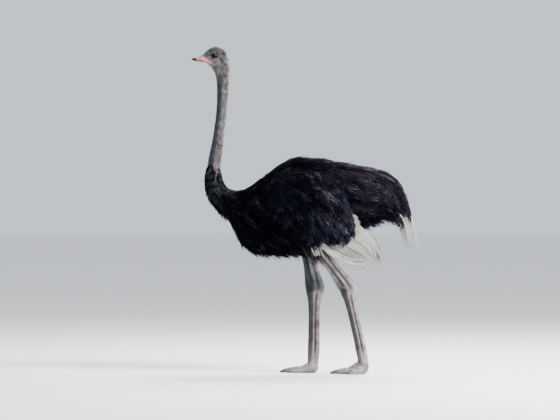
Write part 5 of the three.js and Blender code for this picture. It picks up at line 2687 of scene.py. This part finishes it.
@dataclass(frozen=True)
class Fan:
    """A row of plumes between its two outermost ones: root, bend and tip of each, in millimetres."""

    count: int
    root: tuple
    bend: tuple
    tip: tuple
    half_width: float = 15.0
    face: Point = (0.0, 1.0, 0.15)
    ragged: float = 0.06
    stray: float = 4.0
    grey: float = 0.08

    STEPS = 14

    def shafts(self, hand: int, draw: Draw, row: float) -> Shafts:
        """The plumes' shafts.

        Args:
            hand: The sign of Y of the side they are on.
            draw: Source of the disorder.
            row: Their row on the bake map.

        Returns:
            The shafts.
        """
        count = self.count
        even = (np.arange(count) + 0.5) / count
        share = np.clip(even + draw.normal(0, 0.08 / count, count), 0, 1)[:, None]
        mirror = np.array([1, hand, 1]) * MM
        root, bend, tip = (
            (np.array(low) * (1 - share) + np.array(high) * share) * mirror
            for low, high in (self.root, self.bend, self.tip)
        )
        tip = root + (tip - root) * np.clip(1 + draw.normal(0, self.ragged, (count, 1)), 0.8, 1.03)
        bend = bend + draw.normal(0, self.stray * MM, (count, 3))
        tip = tip + draw.normal(0, self.stray * MM, (count, 3))
        s = np.linspace(0, 1, self.STEPS + 1)[None, :, None]
        paths = (1 - s) ** 2 * root[:, None] + 2 * s * (1 - s) * bend[:, None] + s * s * tip[:, None]
        face = unit(np.array(self.face) * (1, hand, 1) + draw.normal(0, 0.22, (count, 1, 3)) + 0 * paths)
        lengths = length_of(np.diff(paths, axis=1)).sum(1)
        values = {"shade": draw.uniform(0.1, 0.7, count), "pale": self.grey * draw.uniform(0, 2, count)}
        widths = self.half_width * MM * (1 + draw.normal(0, 0.15, count))
        return Shafts(paths, face, lengths, widths, stacked(row, 0.1 + 0.8 * even), values)


# The loose white flight feathers of a wing: two lots above, one below, short ones by the thigh and on top.
WING_FANS = (
    Fan(8, ((186, 206, 872), (215, 202, 985)), ((345, 228, 832), (450, 222, 895)),
        ((436, 226, 738), (496, 218, 750)), 13),
    Fan(6, ((208, 206, 985), (235, 198, 1072)), ((448, 220, 900), (506, 212, 894)),
        ((494, 218, 756), (505, 206, 758)), 13),
    Fan(6, ((84, 214, 850), (102, 212, 880)), ((262, 232, 690), (290, 228, 715)),
        ((402, 230, 688), (410, 226, 768)), 13),
    Fan(6, ((150, 206, 862), (226, 206, 856)), ((232, 212, 776), (330, 212, 800)),
        ((330, 212, 752), (404, 214, 788)), 18, ragged=0.12, stray=10, grey=0.3),
    Fan(5, ((30, 206, 860), (96, 206, 862)), ((44, 214, 812), (112, 218, 812)),
        ((58, 212, 776), (130, 214, 768)), 9),
    Fan(6, ((250, 190, 1064), (290, 198, 1004)), ((306, 202, 1064), (330, 206, 1004)),
        ((346, 208, 1034), (362, 210, 974))),
)
# The white plumes of the tail, from its middle to one side: they hang from under the black feathers.
TAIL_FANS = (
    Fan(9, ((668, 4, 1086), (600, 92, 1078)), ((728, 4, 1010), (664, 104, 1010)),
        ((740, 4, 838), (676, 112, 862)), 13, (1.0, 0.3, 0.2), 0.10, 7.0, 0.25),
    Fan(5, ((632, 20, 1062), (588, 76, 1058)), ((668, 24, 1000), (630, 84, 1000)),
        ((694, 26, 852), (650, 90, 880)), 13, (1.0, 0.3, 0.2), 0.14, 8.0, 0.45),
)


@dataclass
class Plumes:
    """The white plumes that show behind the wings and under the tail."""

    wardrobe: Wardrobe
    # The barbs take the white finish's dark grey: painted shade between the bright shafts.
    vane: Vane = Vane(
        46, 0.0017, 0.0042, reach=0.15, droop=0.9, tip_share=0.5, loose=0.3, noise=0.2, barb_pale=1.0,
        last=0.96, stem_steps=14, end_width=0.6,
    )
    wing_seed: int = 51
    tail_seed: int = 61

    def build(self) -> list[Piece]:
        """Make the plumes of both wings and of the tail.

        Returns:
            The pieces.
        """
        lots = [(f"wing_{side.label}", WING_FANS, [side.value], self.wing_seed) for side in Side]
        lots.append(("tail", TAIL_FANS, [-1, 1], self.tail_seed))
        return [self.piece(f"{part}_white", f"{part}_plumes", *rest) for part, *rest in lots]

    def piece(self, name: str, node: str, fans: Sequence[Fan], hands: Sequence[int], seed: int) -> Piece:
        """One piece of plumes.

        Args:
            name: Its name.
            node: The solid that it stands for.
            fans: Its rows of plumes.
            hands: The signs of Y on which each row grows.
            seed: Seed of the disorder.

        Returns:
            The piece.
        """
        draw = np.random.default_rng(seed + hands[0])
        rows = [(hand, fan) for hand in hands for fan in fans]
        lots = []
        for k, (hand, fan) in enumerate(rows):
            shafts = fan.shafts(hand, draw, (k + 0.5) / len(rows))
            lots.append(self.vane.mesh(shafts, seed + 2 + k))
        return hand_over(gathered(lots).to_object(name, self.wardrobe.white), "white_plumes", node)


# --- Down, bristles and lashes: small tufts set on guide points ---


@dataclass
class Guides:
    """Where tufts stand: places, the way each leans, the outward direction, sizes and bake places."""

    place: Array
    lean: Array
    stand: Array
    size: Array
    shade: Array
    pale: Array
    spot: Array

    def joined(self, other: Guides) -> Guides:
        """These guides followed by others."""
        return Guides(*(np.concatenate(pair) for pair in zip(vars(self).values(), vars(other).values())))

    def to_object(self, name: str) -> Piece:
        """Loose points with the guides' values stored on them.

        Args:
            name: Its name.

        Returns:
            The object of points.
        """
        values = {"size": self.size, "shade": self.shade, "pale": self.pale}
        values |= {"spot_u": self.spot[:, 0], "spot_v": self.spot[:, 1]}
        values |= {"lean": self.lean, "stand": self.stand}
        triangles, quads = (np.empty((0, corners), int) for corners in (3, 4))
        return MeshData(self.place, triangles, quads, values=values).to_object(name)


@dataclass(frozen=True)
class Tuft:
    """A pattern for one tuft, one unit long: it runs along +Z, faces +X and spreads along Y."""

    name: str
    blades: int
    spread: float
    width: float
    curl: float
    stations: tuple[float, ...] = (0.0, 0.4, 0.75, 1.0)

    def to_object(self) -> Piece:
        """The pattern as an object with its place on the bake map stored at its points.

        Returns:
            The object.
        """
        s = np.array(self.stations)
        turn = np.linspace(-self.spread, self.spread, self.blades) if self.blades > 1 else np.zeros(1)
        reach = 1 - 0.25 * (np.arange(self.blades) % 2)
        out = self.curl * (s * 1.6 - s**2 * 1.1)
        run = s * reach[:, None]
        paths = stacked(out, np.sin(turn)[:, None] * run, np.cos(turn)[:, None] * run)
        lifts = np.broadcast_to(np.array([1.0, 0.0, 0.0]), paths.shape)
        widths = np.tile(self.width * np.linspace(1, 0.7, len(s) - 2), (self.blades, 1))
        data = Strands(paths, lifts, widths, np.zeros((self.blades, 2)), {}).mesh()
        data.values["patch_u"] = data.places[:, 0]
        data.values["patch_v"] = data.places[:, 1]
        data.places = None
        return data.to_object(self.name)


class TuftTree:
    """Geometry nodes that set a tuft on every guide point, and make one plain mesh of them."""

    NUMBERS = {"Least Size": 0.75, "Most Size": 1.25, "Roll": 0.5}

    def __init__(self, name: str, seed: int) -> None:
        """Build the tree.

        Args:
            name: Its name.
            seed: Seed of the sizes and rolls.
        """
        self.tree = bpy.data.node_groups.new(name, "GeometryNodeTree")
        face = self.tree.interface
        face.new_socket("Geometry", in_out="INPUT", socket_type="NodeSocketGeometry")
        face.new_socket("Pattern", in_out="INPUT", socket_type="NodeSocketObject")
        face.new_socket("Finish", in_out="INPUT", socket_type="NodeSocketMaterial")
        for key, value in self.NUMBERS.items():
            face.new_socket(key, in_out="INPUT", socket_type="NodeSocketFloat").default_value = value
        face.new_socket("Geometry", in_out="OUTPUT", socket_type="NodeSocketGeometry")
        board = NodeBoard(self.tree)
        given = board.add("NodeGroupInput").outputs
        points = board.add("GeometryNodeMeshToPoints", {"Mesh": given["Geometry"]}).outputs[0]
        jitter = self._random(board, given["Least Size"], given["Most Size"], seed)
        size = board.times(self._stored(board, "size"), jitter)
        scale = board.merged(size, size, size)
        axes = {"Primary Axis": self._stored(board, "lean", True)}
        axes["Secondary Axis"] = self._stored(board, "stand", True)
        aim = board.add("FunctionNodeAxesToRotation", axes, primary_axis="Z", secondary_axis="X").outputs[0]
        most = given["Roll"]
        least = board.times(most, -1.0)
        roll = board.merged(0.0, 0.0, self._random(board, least, most, seed + 1))
        turning = {"Rotation": aim, "Rotate By": roll}
        turned = board.add("FunctionNodeRotateRotation", turning, rotation_space="LOCAL").outputs[0]
        pattern = board.add("GeometryNodeObjectInfo", {"Object": given["Pattern"]}).outputs["Geometry"]
        set_out = board.add(
            "GeometryNodeInstanceOnPoints",
            {"Points": points, "Instance": pattern, "Rotation": turned, "Scale": scale},
        ).outputs[0]
        real = board.add("GeometryNodeRealizeInstances", {"Geometry": set_out}).outputs[0]
        u = board.plus(self._stored(board, "spot_u"), self._stored(board, "patch_u"))
        v = board.plus(self._stored(board, "spot_v"), self._stored(board, "patch_v"))
        kept = {"Geometry": real, "Name": "OFBake"}
        mapped = board.add("GeometryNodeStoreNamedAttribute", kept, data_type="FLOAT2", domain="CORNER")
        value = next(s for s in mapped.inputs if s.name == "Value" and s.enabled)
        board.put(value, board.merged(u, v, 0.0))
        finish = {"Geometry": mapped.outputs[0], "Material": given["Finish"]}
        dressed = board.add("GeometryNodeSetMaterial", finish)
        board.put(board.add("NodeGroupOutput").inputs["Geometry"], dressed.outputs[0])

    def _stored(self, board: NodeBoard, name: str, vector: bool = False) -> Socket:
        """A value stored at the points.

        Args:
            board: The board of the tree.
            name: Its name.
            vector: Whether it is a vector.

        Returns:
            The value's socket.
        """
        kind = "FLOAT_VECTOR" if vector else "FLOAT"
        node = board.add("GeometryNodeInputNamedAttribute", {"Name": name}, data_type=kind)
        return next(s for s in node.outputs if s.enabled and s.name == "Attribute")

    def _random(self, board: NodeBoard, low: object, high: object, seed: int) -> Socket:
        """A random number for each point, the same on every run.

        Args:
            board: The board of the tree.
            low: The least.
            high: The most.
            seed: Seed of the disorder.

        Returns:
            The number's socket.
        """
        node = board.add("FunctionNodeRandomValue", data_type="FLOAT")
        floats = [s for s in node.inputs if s.type == "VALUE" and s.enabled]
        board.put(floats[0], low)
        board.put(floats[1], high)
        node.inputs["Seed"].default_value = seed
        return next(s for s in node.outputs if s.enabled)

    def grow(self, guides: Piece, pattern: Piece, **inputs: object) -> Piece:
        """Replace guide points by their tufts.

        Args:
            guides: The object of guide points.
            pattern: The tuft's pattern.
            inputs: Values for the tree's other inputs, their names spelt with _ for a space.

        Returns:
            The same object with a plain mesh of tufts.
        """
        values = {"Pattern": pattern} | {key.replace("_", " "): value for key, value in inputs.items()}
        modifier = guides.modifiers.new("growth", "NODES")
        modifier.node_group = self.tree
        for item in self.tree.interface.items_tree:
            if item.in_out == "INPUT" and item.name in values:
                modifier[item.identifier] = values[item.name]
        guides.update_tag()
        bpy.context.view_layer.update()
        settle(guides)
        bpy.data.objects.remove(pattern)
        return guides


@dataclass(frozen=True)
class DownStage:
    """Size of the down at one station of the head and neck, in millimetres, and its lift in degrees."""

    at: float
    spacing: float
    size: float
    lift: float


@dataclass
class Down:
    """The hair-like down of the head and neck, with bristles on the crown and round the ears."""

    wardrobe: Wardrobe
    markings: Markings
    tree: TuftTree
    clumps: Ripple = Ripple(81, 0.035)
    patches: Ripple = Ripple(82, 0.04)
    seed: int = 71
    bristle_count: int = 620
    ear_bristles: int = 26
    ear_radius: float = 0.0078
    ear_side: float = 0.0335
    ear_bare: float = 0.006
    ear_length: float = 0.012
    lash_lift: float = 0.0012

    STAGES = rows_of(
        DownStage,
        (0.2, 2.6, 3.0, 20), (1.5, 3.2, 5.0, 24), (4.0, 4.0, 7.0, 26), (6.5, 4.8, 9.5, 28),
        (8.0, 5.6, 12.0, 28), (13.0, 6.4, 13.0, 28), (15.0, 7.0, 14.0, 30), (17.2, 8.0, 14.0, 30),
    )

    def stage(self, key: str, at: Array | float) -> Array:
        """A size of the down at station numbers, in metres, or its lift in radians."""
        return staged(self.STAGES, key, at) * (math.radians(1) if key == "lift" else MM)

    def build(self) -> list[Piece]:
        """Make the down of the head, that of the neck, and the bristles.

        Returns:
            The four pieces.
        """
        loft = Loft(BODY_STATIONS, skull_relief)
        head = self.tufts(loft, (0.15, NECK_START), self.seed)
        neck = self.tufts(loft, (NECK_START, NECK_ROOT), self.seed + 1)
        soft = Tuft("soft_tuft", 3, 0.34, 0.11, 0.16)
        bristle = Tuft("bristle", 1, 0.0, 0.05, 0.2)
        lash = Tuft("lash", 1, 0.0, 0.05, 0.45, (0.0, 0.3, 0.6, 0.82, 1.0))
        return [
            self.dress(head, "head_down", soft, self.wardrobe.down),
            self.dress(neck, "neck_down_tufts", soft, self.wardrobe.down),
            self.dress(self.bristles(loft), "head_bristles", bristle, self.wardrobe.bristle),
            self.dress(self.lashes(), "lashes", lash, self.wardrobe.bristle, 0.0),
        ]

    def dress(self, guides: Guides, name: str, tuft: Tuft, finish: Material, roll: float = 0.6) -> Piece:
        """Grow tufts on guides and hand the piece over."""
        piece = self.tree.grow(guides.to_object(name), tuft.to_object(), Finish=finish, Roll=roll)
        return hand_over(piece, "neck_down")

    def tufts(self, loft: Loft, span: tuple[float, float], seed: int) -> Guides:
        """Down over a stretch of the head or neck.

        Args:
            loft: The surface that they grow on.
            span: First and last station number.
            seed: Seed of the disorder.

        Returns:
            The guides of the tufts.
        """
        draw = np.random.default_rng(seed)
        at, angle = scatter(
            loft,
            span,
            (-math.pi, math.pi),
            lambda t: float(self.stage("spacing", t)),
            draw,
            lambda t: -float(coat_depth(np.array(t))),
        )
        frame = loft.frame(at, angle, -coat_depth(at))
        place = frame.place
        keep = (self.markings.black(at, angle, place) < 0.5) & (self.markings.beak(place) < 0.4)
        rho, _ = EYE.opening(place[:, 0], place[:, 2])
        side = np.abs(place[:, 1]) > 0.012
        keep &= ~(side & (rho < 1.5))
        ear = np.hypot(place[:, 0] - EAR[0], place[:, 2] - EAR[1])
        keep &= ~(side & (ear < self.ear_bare))
        keep &= draw.uniform(0, 1, len(at)) > 0.75 * self.markings.collar(at, angle, place)
        return self._guides(loft, at[keep], angle[keep], draw)

    def _guides(self, loft: Loft, at: Array, angle: Array, draw: Draw) -> Guides:
        """Guides with the lie, size and tint that the place calls for.

        Args:
            loft: The surface that they grow on.
            at: Station numbers.
            angle: Angles round the ring, in radians.
            draw: Source of the disorder.

        Returns:
            The guides.
        """
        count = len(at)
        frame = loft.frame(at, angle, -coat_depth(at) - 0.0006)
        clump = self.clumps.at(frame.place)
        top = smooth(np.sin(angle), 0.1, 0.8)
        crown = top * smooth(at, 1.0, 2.5) * smooth(at, 8.0, 4.5)
        nape = top * smooth(at, 6.0, 8.0)
        throat = smooth(-np.sin(angle), 0.0, 0.8)
        size = self.stage("size", at) * (1 + 1.6 * crown + 0.55 * nape - 0.3 * throat + 0.14 * clump)
        lift = self.stage("lift", at) * (1 + 1.1 * crown + 0.15 * nape - 0.35 * throat)
        lift = lift + draw.normal(0, 0.16, count)
        aside = np.cross(frame.normal, frame.along)
        sway = 0.28 * clump + draw.normal(0, 0.26, count)
        lie = unit(frame.along + aside * sway[:, None])
        lean = unit(lie * np.cos(lift)[:, None] + frame.normal * np.sin(lift)[:, None])
        soot = self.markings.soot(frame.place)
        slate = self.markings.slate(at, angle)
        ear = np.hypot(frame.place[:, 0] - EAR[0], frame.place[:, 2] - EAR[1])
        patch = 0.24 * self.patches.at(frame.place) + 0.35 * bump(ear, 0.014, 0.006)
        # Lighter over the top of the head and the back of the neck: partly the down's own tone, partly
        # painted light from above and behind.
        shade = np.clip(0.35 + 0.30 * top + patch + draw.normal(0, 0.22, count), 0, 1)
        dark = np.where(draw.uniform(0, 1, count) < 0.16 + 0.30 * crown, 0.75, 0.0)
        # The dark colour goes on the face's dark marks and painted shade, on the painted shade of the neck's
        # front and on dark streaks of the crown.
        pale = np.clip(0.9 * soot + slate + dark + draw.normal(0, 0.08, count), 0, 1)
        arc = loft.arc_length(at) / loft.arc_length(np.array([17.5]))[0]
        spot = stacked(arc, (angle % (2 * math.pi)) / (2 * math.pi)) * 0.98 + 0.01
        return Guides(frame.place, lean, frame.normal, size, shade, pale, spot)

    def bristles(self, loft: Loft) -> Guides:
        """Stiff dark bristles over the crown and nape, and pale ones round the ears.

        Args:
            loft: The surface that they grow on.

        Returns:
            The guides of the bristles.
        """
        draw = np.random.default_rng(self.seed + 5)
        count = self.bristle_count
        at = draw.uniform(1.2, 8.5, count)
        angle = math.pi / 2 + draw.normal(0, 0.62, count)
        crown = self._guides(loft, at, angle, draw)
        crown.size = crown.size * draw.uniform(0.9, 1.45, count)
        crown.lean = unit(crown.lean + crown.stand * draw.uniform(0.2, 0.8, (count, 1)))
        crown.pale = draw.uniform(0, 1.0, count)
        ears = 2 * self.ear_bristles
        ring = np.tile(round_angles(self.ear_bristles), 2)
        side = np.repeat([-1.0, 1.0], self.ear_bristles)
        rear, up = self.ear_radius * np.cos(ring), self.ear_radius * np.sin(ring)
        place = stacked(EAR[0] + rear, side * self.ear_side, EAR[1] + up)
        stand = unit(stacked(0.1, side, 0.0))
        over = unit(stacked(0.55 - 0.3 * np.cos(ring), side * 0.5, -0.25 - 0.35 * np.sin(ring)))
        spots = stacked(0.97, 0.02 + 0.95 * np.arange(ears) / ears)
        size, shade, pale = (np.full(ears, value) for value in (self.ear_length, 0.8, 0.9))
        return crown.joined(Guides(place, over, stand, size, shade, pale, spots))

    LASH_ROWS = ((30, 18, 168, 0.0135), (16, 205, 335, 0.006))  # count, first and last angle, length

    def lashes(self) -> Guides:
        """Lashes along the upper lids, and shorter ones below.

        Returns:
            The guides of the lashes.
        """
        rows = []
        for side in Side:
            for count, start, end, size in self.LASH_ROWS:
                turn = np.radians(np.linspace(start, end, count))
                place = EYE.rim(side, turn, self.lash_lift)
                away = stacked(np.cos(turn), 0.0, np.sin(turn))
                out = np.array([0.0, side.value, 0.0])
                lean = unit(out * 0.85 + away * 0.55 + np.array([0.12, 0, -0.05]))
                rows.append((place, lean, unit(away + out * 0.3), np.full(count, size)))
        place, lean, stand, size = (np.concatenate(part) for part in zip(*rows))
        count = len(size)
        spot = stacked(0.5, 0.02 + 0.96 * np.arange(count) / count)
        return Guides(place, lean, stand, size, np.full(count, 0.2), np.zeros(count), spot)


# --- The studio ---


def point_at(piece: Piece, place: Point, target: Point) -> None:
    """Stand a lamp or camera at a place, pointing at a target."""
    piece.location = place
    piece.rotation_euler = (Vector(target) - Vector(place)).to_track_quat("-Z", "Y").to_euler()


@dataclass(frozen=True)
class SoftLight:
    """A square soft light that points at the bird."""

    name: str
    place: Point
    size: float
    power: float
    colour: Colour = (1.0, 1.0, 1.0)

    def build(self, target: Point) -> None:
        """Hang the light, pointing at a target.

        Args:
            target: Where it points.
        """
        lamp = bpy.data.lights.new(self.name, "AREA")
        lamp.energy = self.power
        lamp.size = self.size
        lamp.color = self.colour
        point_at(in_scene(self.name, lamp), self.place, target)


@dataclass
class Studio:
    """Pale floor, soft light and the camera."""

    effects: Effects
    floor_half: float = 60.0
    camera_place: Point = (-0.160, -20.0, 1.228)
    camera_target: Point = (-0.160, 0.0, 1.0758)
    frame_width: float = 3.696
    sensor: float = 36.0
    world: Colour = (0.80, 0.85, 0.92)
    world_strength: float = 0.85
    look: str = "AgX - Medium High Contrast"
    lights: tuple[SoftLight, ...] = (
        SoftLight("key", (4.6, -3.0, 4.6), 1.8, 820.0, (1.0, 0.97, 0.92)),
        SoftLight("fill", (-4.4, -5.6, 2.6), 3.4, 60.0, (0.92, 0.96, 1.0)),
        SoftLight("top", (1.2, 2.6, 5.2), 2.4, 380.0, (1.0, 0.98, 0.95)),
    )

    def build(self) -> None:
        """Lay the floor, hang the lights and set the camera."""
        finish = PlainFinish("floor", (0.90, 0.89, 0.87), 0.9).make(self.effects)
        half = self.floor_half
        corners = np.array([(-half, -half, 0), (half, -half, 0), (half, half, 0), (-half, half, 0)], float)
        data = MeshData(corners, np.empty((0, 3), int), np.array([[0, 1, 2, 3]]))
        data.to_object("studio_floor", finish)
        for light in self.lights:
            light.build((0.0, 0.0, 1.1))
        world = bpy.data.worlds.new("studio")
        world.use_nodes = True
        background = world.node_tree.nodes["Background"]
        background.inputs["Color"].default_value = (*self.world, 1.0)
        background.inputs["Strength"].default_value = self.world_strength
        bpy.context.scene.world = world
        bpy.context.scene.view_settings.look = self.look
        self.camera()

    def camera(self) -> None:
        """Stand the camera where the whole bird is seen from its left side."""
        lens = bpy.data.cameras.new("camera")
        lens.sensor_width = self.sensor
        lens.lens = self.sensor * math.dist(self.camera_place, self.camera_target) / self.frame_width
        lens.clip_end = 200.0
        camera = in_scene("camera", lens)
        point_at(camera, self.camera_place, self.camera_target)
        bpy.context.scene.camera = camera


# --- The bird ---


def report(pieces: Piece | Sequence[Piece]) -> None:
    """Log each piece with its number of triangles.

    Args:
        pieces: A piece or a list of them.
    """
    for piece in pieces if isinstance(pieces, list) else [pieces]:
        piece.data.calc_loop_triangles()
        log.info("%s: %d triangles", piece.name, len(piece.data.loop_triangles))


def main() -> None:
    """Build the studio and every piece of the bird, in order."""
    logging.basicConfig(level=logging.INFO, format="%(name)s: %(message)s")
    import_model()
    wardrobe = Wardrobe()
    markings = Markings()
    Studio(wardrobe.effects).build()
    legs = {side: LegSurface(LegShape(side)) for side in Side}
    report(Skin(wardrobe, markings, legs).build())
    report(Bill(wardrobe).build())
    report(Eyes(wardrobe).build())
    report(Claws(wardrobe, legs).build())
    report(BodyFeathers(wardrobe, markings).build())
    for side in Side:
        report(WingFeathers(wardrobe, side).build())
        report(ThighFeathers(wardrobe, side).build())
    report(Plumes(wardrobe).build())
    report(Down(wardrobe, markings, TuftTree("tufts", 91)).build())
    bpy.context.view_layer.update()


if __name__ == "__main__":
    main()
